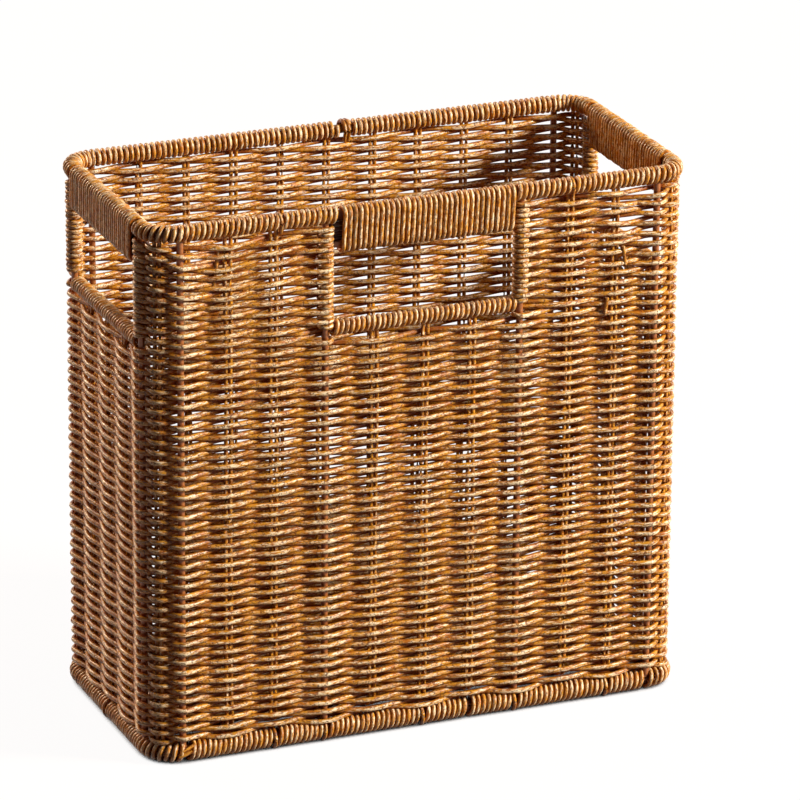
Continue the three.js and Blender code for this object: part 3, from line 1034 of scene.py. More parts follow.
    def edge_strand(self, path: Sequence[LayPoint]) -> list[LayPoint]:
        """The strand inside the lowest row, on the inner shoulder of the base rim.

        Args:
            path: The line that the panel's rows repeat.

        Returns:
            The strand's points.
        """
        sink = self.edge_drop_share * self.pitch
        points = []
        for point in path:
            place = point.place - point.outward * (point.reach + self.edge_inset) - UP * sink
            points.append(LayPoint(
                place, base=point.base, outward=point.outward, row=-2.0, along=point.along + self.edge_shift,
                stand=-point.reach,
            ))
        return points

    def build(self) -> None:
        """Make every woven panel of the walls."""
        # Piece, CAD node, first and last station, hand hole and loose patch; 36 stations make one round
        left, right = self.left_loose, self.right_loose
        panels = (
            ("back_right_weave", "back_wall", 18, 23, Hole.NONE, right),
            ("back_left_weave", "back_wall", 23, 28, Hole.NONE, left),
            ("back_left_corner_weave", "back_left_corner_wall", 28, 30, Hole.AT_LAST, left),
            ("left_weave", "left_wall", 30, 34, Hole.ABOVE, left),
            ("front_left_corner_weave", "front_left_corner_wall", 34, 36, Hole.AT_FIRST, left),
            ("front_left_weave", "front_left_wall", 36, 39, Hole.AT_LAST, left),
            ("front_centre_weave", "front_centre_wall", 39, 43, Hole.ABOVE, left),
            ("front_right_weave", "front_right_wall", 43, 46, Hole.AT_FIRST, right),
            ("front_right_corner_weave", "front_right_corner_wall", 46, 48, Hole.AT_LAST, right),
            ("right_weave", "right_wall", 48, 52, Hole.ABOVE, right),
            ("back_right_corner_weave", "back_right_corner_wall", 52, 54, Hole.AT_FIRST, right),
        )
        for name, node, first, last, hole, loose in panels:
            lay = Lay()
            path = self.path(first, last, hole)
            for line in (path, self.foot_row(path), self.edge_strand(path)):
                lay.add(line)
            last_front = self.low_rows
            if hole in (Hole.AT_FIRST, Hole.AT_LAST):
                station, sign = (first, -1) if hole is Hole.AT_FIRST else (last, 1)
                last_front = self.low_rows + 1 - (self.low_rows + 1 + station) % 2
                lay.add(self.jamb_turn(station, sign, last_front, 0, 0.5))
                row = last_front + self.bare_rows
                lay.add(self.jamb_turn(station, sign, row, -0.5, 0.5))
                for row in range(row + 1, self.row_count, 2):
                    turns = 1.5 if row + 1 < self.row_count else 0.5
                    lay.add(self.jamb_turn(station, sign, row, 0, turns))
            girth = self.back_girth_share if node == "back_wall" else 1.0
            self.workshop.make(name, lay, Slot.WOVEN, [node], {
                **self.cane.settings(),
                **loose.settings(self.plan.half_depth),
                "Diameter": self.cane.diameter * girth,
                "Rows": self.low_rows if hole is Hole.ABOVE else self.row_count,
                "Row Step": (0.0, 0.0, self.pitch),
                "Tucked From": float(last_front + 1),
                "Tucked To": float(last_front + self.bare_rows),
                "Half Size": (self.plan.half_width, self.plan.half_depth, self.top / 2),
                "Climb": self.climb_share * self.pitch,
                "Lift": self.lift_share * self.pitch,
            })


@dataclass(frozen=True)
class Splice:
    """An end of cane that was spliced in and shows on the front wall.

    Attributes:
        x: Where its lower end is.
        low: Height of that end.
        high: Height of the other end.
        slant: How far the other end lies to the right.
        offset: How far it lies in front of the wall's middle line.
    """

    x: float
    low: float
    high: float
    slant: float
    offset: float


@dataclass
class Stakes(SubAssembly):
    """The pairs of thin cane that the rows pass.

    Attributes:
        walls: The walls that they stand in.
        floor_z: Height at which the long ones run under the floor.
        cane: One strand.
        spacing: From one strand of a pair to the other.
        back_spacing: The same in the back wall.
        bend: Radius of a bend.
        bend_steps: Steps in a bend.
        step: Distance from point to point along a strand.
        top_hook: How far they run on into a rim or a sill.
        drift_length: Distance over which slow unevenness comes and goes.
        jitter_length: The same for quick unevenness.
        side_drift: Slow unevenness in the end walls.
        corner_drift: Slow unevenness in the corners.
        splice_drift: Slow unevenness of the spliced ends.
        row_step: What keeps one pair's unevenness apart from the next.
        row_offset: What keeps its two strands apart.
        side_row: The number of the first pair in the end walls.
        corner_row: The number of the first pair in the corners.
        splice_row: The number of the first spliced end.
        splices: The spliced ends.
    """

    walls: WallWeave
    floor_z: float
    cane: Cane = Cane(
        diameter=2.2 * MM, variation_share=0.3, drift=(2.2 * MM, 0.4 * MM, 0.0),
        jitter=(0.9 * MM, 0.3 * MM, 0.0),
    )
    spacing: float = 2.8 * MM
    back_spacing: float = 2.4 * MM
    bend: float = 4.0 * MM
    bend_steps: int = 5
    step: float = 7.0 * MM
    top_hook: float = 1.5 * MM
    drift_length: float = 90 * MM
    jitter_length: float = 40 * MM
    side_drift: Triple = (0.5 * MM, 2.2 * MM, 0.0)
    corner_drift: Triple = (0.8 * MM, 0.8 * MM, 0.0)
    splice_drift: Triple = (0.6 * MM, 0.2 * MM, 0.0)
    row_step: int = 5
    row_offset: float = 0.4
    side_row: int = 60
    corner_row: int = 100
    splice_row: int = 150
    splices: tuple[Splice, ...] = (
        Splice(-56.8 * MM, 95 * MM, 185 * MM, 0.5 * MM, 0.0),
        Splice(-112.5 * MM, 254 * MM, 276 * MM, 2.5 * MM, 0.0),
        Splice(112 * MM, 240 * MM, 250 * MM, -1.4 * MM, 2.6 * MM),
        Splice(101 * MM, 215 * MM, 223 * MM, 1.2 * MM, 2.6 * MM),
    )

    def line(self, corners: Sequence[Vector], outward: Vector, row: float) -> list[LayPoint]:
        """One strand along straight runs with round bends.

        Args:
            corners: The places where the runs meet, and the two ends.
            outward: The direction that counts as the outside.
            row: A number of its own, which keeps its unevenness apart from other strands.

        Returns:
            The strand's points.
        """
        places = []
        for index in range(len(corners) - 1):
            start, end = corners[index], corners[index + 1]
            way = (end - start).normalized()
            first = start + way * (self.bend if index > 0 else 0)
            last = end - way * (self.bend if index + 2 < len(corners) else 0)
            count = max(1, round((last - first).length / self.step))
            places.extend(first.lerp(last, part / count) for part in range(count + 1))
            if index + 2 < len(corners):
                after = (corners[index + 2] - end).normalized()
                centre = end - way * self.bend + after * self.bend
                for part in range(1, self.bend_steps):
                    angle = part / self.bend_steps * QUARTER
                    spoke = way * math.sin(angle) - after * math.cos(angle)
                    places.append(centre + spoke * self.bend)
        along = 0.0
        points = []
        for index, place in enumerate(places):
            along += (place - places[index - 1]).length if index else 0.0
            points.append(LayPoint(place, outward=outward, row=row, along=along + row))
        return points

    def build(self) -> None:
        """Make every pair of stakes."""
        walls, plan = self.walls, self.walls.plan
        post_x = plan.half_width - plan.corner
        top, over_sill = walls.top + self.top_hook, walls.sill_bottom + self.top_hook
        lengths = {"Drift Length": self.drift_length, "Jitter Length": self.jitter_length}
        settings = {**self.cane.settings(), **lengths}
        for index, (front, back) in enumerate(zip(FRONT_SHARES, BACK_SHARES)):
            over_hole = FRONT_JAMBS[0] < index < FRONT_JAMBS[1]
            lay = Lay()
            for side in (-1, 1):
                front_x = front * post_x + side * self.spacing / 2
                back_x = back * post_x + side * self.back_spacing / 2
                corners = [
                    Vector((front_x, -plan.half_depth, over_sill if over_hole else top)),
                    Vector((front_x, -plan.half_depth, self.floor_z)),
                    Vector((back_x, plan.half_depth, self.floor_z)),
                    Vector((back_x, plan.half_depth, top)),
                ]
                if index in FRONT_JAMBS:
                    start = Vector((front_x, -plan.half_depth + walls.wire, self.floor_z))
                    corners = [start, *corners[2:]]
                row = self.row_step * index + side * self.row_offset
                lay.add(self.line(corners, Vector((0, -1, 0)), row))
            node = f"floor_stake_{index + 1}"
            self.workshop.make(f"{node}_cane", lay, Slot.WOVEN, [node], settings)
        upright = [
            (f"{name}_stake_{index + 1}", sign, share)
            for name, sign in (("left", -1), ("right", 1)) for index, share in enumerate(SIDE_SHARES)
        ]
        settings["Drift"] = self.side_drift
        for number, (node, sign, share) in enumerate(upright):
            place = Vector((sign * plan.half_width, share * (plan.half_depth - plan.corner), 0))
            row = self.side_row + self.row_step * number
            self.pair(node, place, Vector((sign, 0, 0)), over_sill, row, settings)
        settings["Drift"] = self.corner_drift
        for wall, name in enumerate(("front_right", "back_right", "back_left", "front_left")):
            place, outward = plan.at(plan.run_start(wall) + plan.runs[wall] + plan.arc / 2)
            row = self.corner_row + self.row_step * wall
            self.pair(f"{name}_corner_stake", place, outward, top, row, settings)
        lay = Lay()
        for number, splice in enumerate(self.splices):
            y = -plan.half_depth - splice.offset
            ends = [Vector((splice.x, y, splice.low)), Vector((splice.x + splice.slant, y, splice.high))]
            lay.add(self.line(ends, Vector((0, -1, 0)), self.splice_row + self.row_step * number))
        settings = {**self.cane.settings(), "Drift": self.splice_drift}
        self.workshop.make("spliced_ends", lay, Slot.WOVEN, [], settings)

    def pair(
        self, node: str, place: Vector, outward: Vector, top: float, row: float, settings: Inputs,
    ) -> None:
        """Make one upright pair that stands on the base rim.

        Args:
            node: The CAD node that the pair stands for.
            place: Its place in plan.
            outward: The direction out of the basket.
            top: Height of its upper end.
            row: A number of its own.
            settings: The tree's inputs.
        """
        lay = Lay()
        for side in (-1, 1):
            foot = place + UP.cross(outward) * side * self.spacing / 2
            ends = [foot + UP * top, foot + UP * (self.walls.bottom - self.top_hook)]
            lay.add(self.line(ends, outward, row + side * self.row_offset))
        self.workshop.make(f"{node}_cane", lay, Slot.WOVEN, [node], settings)


@dataclass
class WireFrame(SubAssembly):
    """The coated wires: uprights, bars across the hand holes and the two rim wires.

    Attributes:
        top_plan: The middle line of the top rim wire.
        base_plan: The middle line of the base rim wire.
        wire: Diameter of the wire.
        sides: Sides of its section.
        variation_share: How far the coat's thickness varies.
        step: Distance from point to point along a straight wire.
        ring_step: The same along a rim wire.
    """

    top_plan: PlanLine
    base_plan: PlanLine
    wire: float
    sides: int = 16
    variation_share: float = 0.02
    step: float = 6 * MM
    ring_step: float = 2 * MM

    def build(self) -> None:
        """Make every wire as a smooth round bar in its CAD place."""
        settings = Cane(self.wire, self.sides, self.variation_share).settings()
        straight = [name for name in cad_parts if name.endswith(("_post", "_jamb", "_bar"))]
        for number, node in enumerate(sorted(straight)):
            low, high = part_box(node)
            centre, size = (low + high) / 2, high - low
            axis = max(range(3), key=lambda index: size[index])
            way = Vector([float(index == axis) for index in range(3)])
            start, end = centre - way * size[axis] / 2, centre + way * size[axis] / 2
            count = max(1, round(size[axis] / self.step))
            lay = Lay()
            lay.add([
                LayPoint(start.lerp(end, index / count), along=size[axis] * index / count + number)
                for index in range(count + 1)
            ])
            self.workshop.make(f"{node}_wire", lay, Slot.WIRE, [node], settings)
        for node, plan in (("top_rim_wire", self.top_plan), ("base_rim_wire", self.base_plan)):
            lay = Lay()
            lay.add(plan.stretch(0, plan.length, self.ring_step, middle(node).z))
            self.workshop.make(f"{node}_ring", lay, Slot.WIRE, [node], settings)


@dataclass
class Wrappings(SubAssembly):
    """The cane wound round the rims, the grips and the sills.

    Attributes:
        walls: The walls, which know where the jambs and stakes are.
        base_plan: The middle line of the base rim.
        jamb_reach: Outside of the weave round a jamb, from the jamb's middle.
        cane: Diameter of the wrapping cane.
        variation_share: How far its girth varies.
        pitch: Distance from turn to turn on the top rim.
        tight_pitch: The same on the base rim, the grips and the sills.
        steps: Points for each turn round a rim.
        seed_step: What keeps one wrapping's unevenness apart from the next.
        rail_step: From point to point of a rail.
        lean: How far a turn leans for its height.
        inside_share: The part of a turn at which the cane is on the inside of the rim.
        slot_width: Width of the slots beside the front grip.
        joint_slot: Width of the slot at the joint in the back rim.
        sill_gap: From a jamb to the first turn round a sill.
        grip_unevenness: How far the turns of a grip slip along it.
        strand: Diameter of the stake ends that cross a rim.
        strand_variation_share: How far their girth varies.
        strand_steps: Steps on the way across a rim.
        top_stand: How far they stand out of the top rim's wrapping.
        joint_stand: The same at the joint and on the base rim.
        top_angles: Where they start and end round the top rim, in degrees.
        joint_angles: The same at the joint.
        base_angles: The same on the base rim.
        joint_slant: How far those at the joint move along the rim.
        joint_share: How far the first of them lies from the joint, as a share of a strand.
        core_strand: Diameter of the stake ends inside a grip.
        core_inset: How far they lie inside the wall's middle line.
        core_step: From point to point of them.
        core_painted_shade: How much painted shade darkens them, for the shadow inside the grip.
        padding_step: From point to point of the stake ends inside a rim.
        padding_painted_shade: How much painted shade darkens those, for the shadow under the wrapping.
        hidden_sides: Sides of the section of both.
        hidden_variation_share: How far their girth varies.
        top_gaps: Station and width of the places where the top rim's cane skips along the inside.
        base_gaps: The same for the base rim.
        top_strands: Station and slant of the stake ends that cross the top rim.
        base_strands: The same for the base rim.
        corner_ends: Station, slant, and first and last angle of those at the front left corner.
    """

    walls: WallWeave
    base_plan: PlanLine
    jamb_reach: float
    cane: float = 2.4 * MM
    variation_share: float = 0.25
    pitch: float = 3.0 * MM
    tight_pitch: float = 2.9 * MM
    steps: int = 20
    seed_step: int = 7
    rail_step: float = 1.5 * MM
    lean: float = 0.14
    inside_share: float = 0.375
    slot_width: float = 2.1 * MM
    joint_slot: float = 0.4 * MM
    sill_gap: float = 0.35 * MM
    grip_unevenness: float = 0.08 * MM
    strand: float = 2.1 * MM
    strand_variation_share: float = 0.2
    strand_steps: int = 14
    top_stand: float = 0.25 * MM
    joint_stand: float = 0.6 * MM
    top_angles: Pair = (150, -35)
    joint_angles: Pair = (-35, 212)
    base_angles: Pair = (105, -58)
    joint_slant: float = -1.0 * MM
    joint_share: float = 0.6
    core_strand: float = 2.6 * MM
    core_inset: float = 1.0 * MM
    core_step: float = 6 * MM
    core_painted_shade: float = 0.85
    padding_step: float = 4 * MM
    padding_painted_shade: float = 0.5
    hidden_sides: int = 6
    hidden_variation_share: float = 0.1
    top_gaps: tuple[Pair, ...] = ((2.1, 2.0 * MM), (8.0, 1.8 * MM))
    base_gaps: tuple[Pair, ...] = (
        (0.05, 3.4 * MM), (2, 3.0 * MM), (3, 3.2 * MM), (5, 2.6 * MM), (6, 2.2 * MM), (7, 3.2 * MM),
        (9, 2.6 * MM), (10, 2.4 * MM), *((station, 2.6 * MM) for station in (14, 18, 21, 24, 28, 32)),
    )
    top_strands: tuple[Pair, ...] = ((2.1, 0.8 * MM), (8.0, 0.5 * MM))
    base_strands: tuple[Pair, ...] = (
        (2, 0.4 * MM), (3, -1.2 * MM), (5, 0.6 * MM), (7, 0.8 * MM), (9, 0.3 * MM), (14, 0.4 * MM),
        (21, 0.4 * MM), (24, -0.6 * MM), (32, 0.5 * MM),
    )
    corner_ends: tuple[tuple[float, float, float, float], ...] = (
        (0.1, 7.0 * MM, 18, 52), (0.02, 6.0 * MM, -16, 12),
    )

    def rail(
        self, plan: PlanLine, z: float, start: float, end: float, pitch: float,
        gaps: Sequence[Pair] = (), lean: float = 0.0,
    ) -> list[LayPoint]:
        """Lay out the turns of one wrapping along a plan line.

        Args:
            plan: The line in plan.
            z: Height of the turns' middle.
            start: Ring distance of the first turn.
            end: Ring distance of the last turn.
            pitch: Distance from turn to turn.
            gaps: Ring distance and width of each place where the cane skips along the inside.
            lean: How far a turn leans for its height.

        Returns:
            The rail's points.
        """
        edges = [start]
        for place, width in sorted(gaps):
            if start + pitch < place < end - pitch:
                edges += [place - width / 2, place + width / 2]
        edges.append(end)
        turn = self.inside_share
        points: list[LayPoint] = []
        for index, (first, last) in enumerate(zip(edges, edges[1:])):
            count = 0 if index % 2 else max(1, round((last - first) / pitch))
            stretch = plan.stretch(first, last, self.rail_step, z)
            for point in stretch:
                point.turn = turn + count * (point.along - first) / (last - first)
                point.lean = lean
            points.extend(stretch[1 if points else 0:])
            turn += count
        return points

    def wind(self, node: str, rail: list[LayPoint], turn: Pair, **more: object) -> None:
        """Wind one cane along a rail.

        Args:
            node: The CAD node that it stands for.
            rail: The points of the rail, in the middle of the turns.
            turn: Outside width and height of a turn.
            **more: Further inputs of the tree.
        """
        name = f"{node}_cane"
        lay = Lay()
        lay.add(rail)
        turns = rail[-1].turn - rail[0].turn
        steps = round(self.steps * (turn[0] + turn[1]) / 2 / turn[0])
        settings = {
            "Points": round(turns * steps) + 1, "Turn Width": turn[0] - self.cane,
            "Turn Height": turn[1] - self.cane, "Diameter": self.cane,
            "Girth Variation": self.variation_share, "Seed": float(len(name) * self.seed_step + ord(name[0])),
            **more,
        }
        self.workshop.make(name, lay, Slot.WRAPPED, [node], settings, wound=True)

    def joint_ring(self) -> float:
        """Ring distance of the joint in the back rim."""
        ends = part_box("back_right_rim_wrap")[0].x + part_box("back_left_rim_wrap")[1].x
        return self.walls.plan.run_start(2) + self.walls.plan.runs[2] / 2 - ends / 2

    def rims(self) -> None:
        """Wind the four stretches of the top rim and the base rim."""
        walls = self.walls
        diameter, base_diameter = box_height("back_left_rim_wrap"), box_height("base_rim_wrap")
        joint = self.joint_ring()
        reach = self.jamb_reach - self.cane / 2
        stretches = (
            ("front_left_rim_wrap", walls.ring(34) - reach, walls.ring(39) + reach + self.slot_width),
            ("front_right_rim_wrap", walls.ring(7) - reach - self.slot_width / 2, walls.ring(12) + reach),
            ("back_right_rim_wrap", walls.ring(16) - reach, joint - self.cane / 2 - 2 * self.strand),
            ("back_left_rim_wrap", joint + self.cane / 2 + self.joint_slot, walls.ring(30) + reach),
        )
        z = middle("top_rim_wire").z
        gaps = [(walls.ring(station), width) for station, width in self.top_gaps]
        gaps += [(place + walls.plan.length, width) for place, width in gaps]
        for node, start, end in stretches:
            rail = self.rail(walls.plan, z, start, end, self.pitch, gaps, self.lean)
            self.wind(node, rail, (diameter, diameter))
        start = self.base_plan.run_start(2) + self.base_plan.runs[2]
        scale = self.base_plan.length / walls.plan.length
        gaps = [(walls.ring(station) * scale, width) for station, width in self.base_gaps]
        gaps += [(place + self.base_plan.length, width) for place, width in gaps]
        end = start + self.base_plan.length
        rail = self.rail(self.base_plan, base_diameter / 2, start, end, self.tight_pitch, gaps, self.lean)
        self.wind("base_rim_wrap", rail, (base_diameter, base_diameter))
        self.padding("top_rim_padding", walls.plan, z, diameter)
        self.padding("base_rim_padding", self.base_plan, base_diameter / 2, base_diameter)
        self.strands(diameter, base_diameter)

    def over_rim(
        self, plan: PlanLine, ring: float, z: float, radius: float, angles: Pair,
        slant: float = 0.0, tail: float = 0.0,
    ) -> list[LayPoint]:
        """A stake's end that passes over a wrapped rim.

        Args:
            plan: The middle line of the rim.
            ring: Where it crosses.
            z: Height of the rim's middle.
            radius: From the rim's middle to the strand's middle.
            angles: Where it starts and ends round the rim, in degrees; 0 is outside and 90 on top.
            slant: How far it moves along the rim on its way.
            tail: How far it runs straight on, past the rim.

        Returns:
            The strand's points.
        """
        first, last = (math.radians(angle) for angle in angles)
        points = []
        for index in range(self.strand_steps + 1):
            share = index / self.strand_steps
            angle = first + (last - first) * share
            place, outward = plan.at(ring + slant * share)
            offset = outward * math.cos(angle) + UP * math.sin(angle)
            along = ring + radius * abs(last - first) * share
            points.append(LayPoint(place + UP * z + offset * radius, outward=outward, along=along))
        end = points[-1]
        if tail:
            way = (end.place - points[-2].place).normalized()
            points.append(LayPoint(end.place + way * tail, outward=end.outward, along=end.along + tail))
        return points

    def strands(self, diameter: float, base_diameter: float) -> None:
        """Lay the stake ends that show over the wrapped rims.

        Args:
            diameter: Outside diameter of the wrapped top rim.
            base_diameter: Outside diameter of the wrapped base rim.
        """
        walls = self.walls
        lay = Lay()
        rim_z, base_z = middle("top_rim_wire").z, base_diameter / 2
        tail = 2 * self.strand
        radius = (diameter - self.strand) / 2 + self.top_stand
        for station, slant in self.top_strands:
            ring = walls.ring(station) - slant / 2
            lay.add(self.over_rim(walls.plan, ring, rim_z, radius, self.top_angles, slant, tail))
        radius = (diameter - self.strand) / 2 + self.joint_stand
        for number in range(2):
            ring = self.joint_ring() - (number + self.joint_share) * self.strand
            angles, slant = self.joint_angles, self.joint_slant
            lay.add(self.over_rim(walls.plan, ring, rim_z, radius, angles, slant, tail))
        scale = self.base_plan.length / walls.plan.length
        radius = (base_diameter - self.strand) / 2 + self.joint_stand
        for station, slant in self.base_strands:
            ring = walls.ring(station) * scale - slant / 2
            angles = self.base_angles
            lay.add(self.over_rim(self.base_plan, ring, base_z, radius, angles, slant, self.strand / 2))
        radius = (base_diameter - self.strand) / 2
        for station, slant, first, last in self.corner_ends:
            ring = walls.ring(station) * scale - slant / 2
            lay.add(self.over_rim(self.base_plan, ring, base_z, radius, (first, last), slant))
        cane = Cane(self.strand, variation_share=self.strand_variation_share)
        self.workshop.make("stake_ends", lay, Slot.WOVEN, [], cane.settings())

    def padding(self, name: str, plan: PlanLine, z: float, diameter: float) -> None:
        """Lay stake ends along a rim wire, under its wrapping.

        Args:
            name: The piece's name.
            plan: The middle line of the rim.
            z: Height of the rim's middle.
            diameter: Outside diameter of the wrapped rim.
        """
        inner = diameter / 2 - self.cane
        thickness = inner - self.walls.wire / 2
        middle_radius = inner - thickness / 2
        count = math.floor(TURN * middle_radius / thickness)
        lay = Lay()
        for strand in range(count):
            angle = strand / count * TURN
            line = plan.stretch(0, plan.length, self.padding_step, z)
            for point in line:
                point.place += point.outward * middle_radius * math.cos(angle)
                point.place += UP * middle_radius * math.sin(angle)
                point.row = float(strand)
                # A negative stand makes the strand's outer face count as sunk between strands, so painted
                # shade darkens it
                point.stand = -thickness / 2
            lay.add(line)
        cane = Cane(thickness, self.hidden_sides, self.hidden_variation_share)
        # Painted shade darkens these strands for the shadow under the wrapping
        settings = {**cane.settings(), "Shade": self.padding_painted_shade}
        self.workshop.make(name, lay, Slot.WRAPPED, [], settings)

    def hand_holes(self) -> None:
        """Wind the grips and the sills of the three hand holes."""
        walls = self.walls
        rim_z = middle("top_rim_wire").z
        width = box_height("back_left_rim_wrap")
        holes = (("front", 3, 7), ("right", 12, 16), ("left", 30, 34))
        for name, first, last in holes:
            drop = rim_z - middle(f"{name}_grip_bar").z
            edge = self.jamb_reach + self.cane / 2
            start, end = walls.ring(first) + edge, walls.ring(last) - edge
            if name == "front":
                start += self.slot_width
                end += self.slot_width / 2
            rail = self.rail(walls.plan, rim_z - drop / 2, start, end, self.tight_pitch)
            self.wind(f"{name}_grip_wrap", rail, (width, width + drop), Unevenness=self.grip_unevenness)
            self.core(f"{name}_grip_core", walls.ring(first), walls.ring(last), rim_z - drop, rim_z)
            edge = (walls.wire + self.cane) / 2 + self.sill_gap
            start, end = walls.ring(first) + edge, walls.ring(last) - edge
            sill_z = middle(f"{name}_sill_bar").z
            rail = self.rail(walls.plan, sill_z, start, end, self.tight_pitch, lean=self.lean)
            size = 2 * (sill_z - walls.sill_bottom)
            self.wind(f"{name}_sill_wrap", rail, (size, size))

    def core(self, name: str, start: float, end: float, low: float, high: float) -> None:
        """Lay stake ends along a hand hole's top, between the bar and the rim wire.

        Args:
            name: The piece's name.
            start: Ring distance of their first ends.
            end: Ring distance of their other ends.
            low: Height of the lowest one's middle.
            high: Height of the highest one's middle.
        """
        count = math.ceil((high - low) / self.core_strand)
        lay = Lay()
        for number in range(count + 1):
            z = low + (high - low) * number / count
            line = self.walls.plan.stretch(start, end, self.core_step, z)
            for point in line:
                point.place -= point.outward * self.core_inset
                point.row = float(number)
                # A negative stand makes the strand's outer face count as sunk between strands, so painted
                # shade darkens it
                point.stand = -self.core_strand / 2
            lay.add(line)
        cane = Cane(self.core_strand, self.hidden_sides, self.hidden_variation_share)
        # Painted shade darkens these strands for the shadow inside the grip
        settings = {**cane.settings(), "Shade": self.core_painted_shade}
        self.workshop.make(name, lay, Slot.WRAPPED, [], settings)


@dataclass
class FloorWeave(SubAssembly):
    """The woven floor, whose rows run along X and cross the stakes under it.

    Attributes:
        plan: The walls' middle line.
        cane: The weft.
        stake: Diameter of one stake strand.
        step: Distance from point to point along a row.
        pitch: Distance from row to row.
        end_reach_share: How far rows swing beyond the outer stakes, beside how far elsewhere.
        seed: What keeps its unevenness apart from the walls'.
    """

    plan: PlanLine
    cane: Cane = Cane(
        diameter=2.4 * MM, drift=(0.3 * MM, 1.2 * MM, 0.4 * MM), jitter=(0.5 * MM, 0.7 * MM, 0.5 * MM),
    )
    stake: float = 2.0 * MM
    step: float = 2.4 * MM
    pitch: float = 2.67 * MM
    end_reach_share: float = 0.5
    seed: float = 31.0

    def build(self) -> None:
        """Make the floor."""
        low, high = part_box("floor")
        z = (low.z + high.z) / 2
        post_x = self.plan.half_width - self.plan.corner
        edge = high.x - self.cane.diameter / 2
        stakes = [(front + back) / 2 * post_x for front, back in zip(FRONT_SHARES, BACK_SHARES)]
        gap = stakes[1] - stakes[0]
        supports = [stakes[0] - gap, *stakes, stakes[-1] + gap]
        rows = math.floor((high.y - low.y - self.cane.diameter) / self.pitch)
        first_y = -rows / 2 * self.pitch
        reach = (self.stake + self.cane.diameter) / 2
        lay = Lay()
        points = []
        count = round(2 * edge / self.step)
        for index in range(count + 1):
            x = -edge + 2 * edge * index / count
            inside = supports[0] < x < supports[-1]
            points.append(LayPoint(
                Vector((x, first_y, z)),
                base=Vector((x, first_y, z)),
                outward=UP.copy(),
                column=self.column(x, supports),
                reach=reach if inside else reach * self.end_reach_share,
                along=x,
                repeated=1.0,
            ))
        lay.add(points)
        self.workshop.make("floor_weave", lay, Slot.WOVEN, ["floor"], {
            **self.cane.settings(), "Rows": rows + 1, "Row Step": (0.0, self.pitch, 0.0), "Seed": self.seed,
        })

    @staticmethod
    def column(x: float, supports: Sequence[float]) -> float:
        """Find the station at a place along a row, between or beyond the stakes.

        Args:
            x: The place.
            supports: Places of the stakes, and of one more at either end.

        Returns:
            The station, which may lie between two.
        """
        if x <= supports[0]:
            return (x - supports[0]) / (supports[1] - supports[0])
        for index in range(len(supports) - 1):
            if x <= supports[index + 1]:
                return index + (x - supports[index]) / (supports[index + 1] - supports[index])
        return len(supports) - 1 + (x - supports[-1]) / (supports[-1] - supports[-2])


@dataclass(frozen=True)
class Pattern:
    """One noise pattern on the skin of the cane.

    Attributes:
        size: Width of a spot in millimetres.
        stretch: How many times longer than wide it is.
        detail: Steps of finer noise.
        shift: What keeps it apart from other patterns, in spots.
        edges: The values at which its share is zero and one.
    """

    size: float
    stretch: float
    detail: float
    shift: float
    edges: Pair


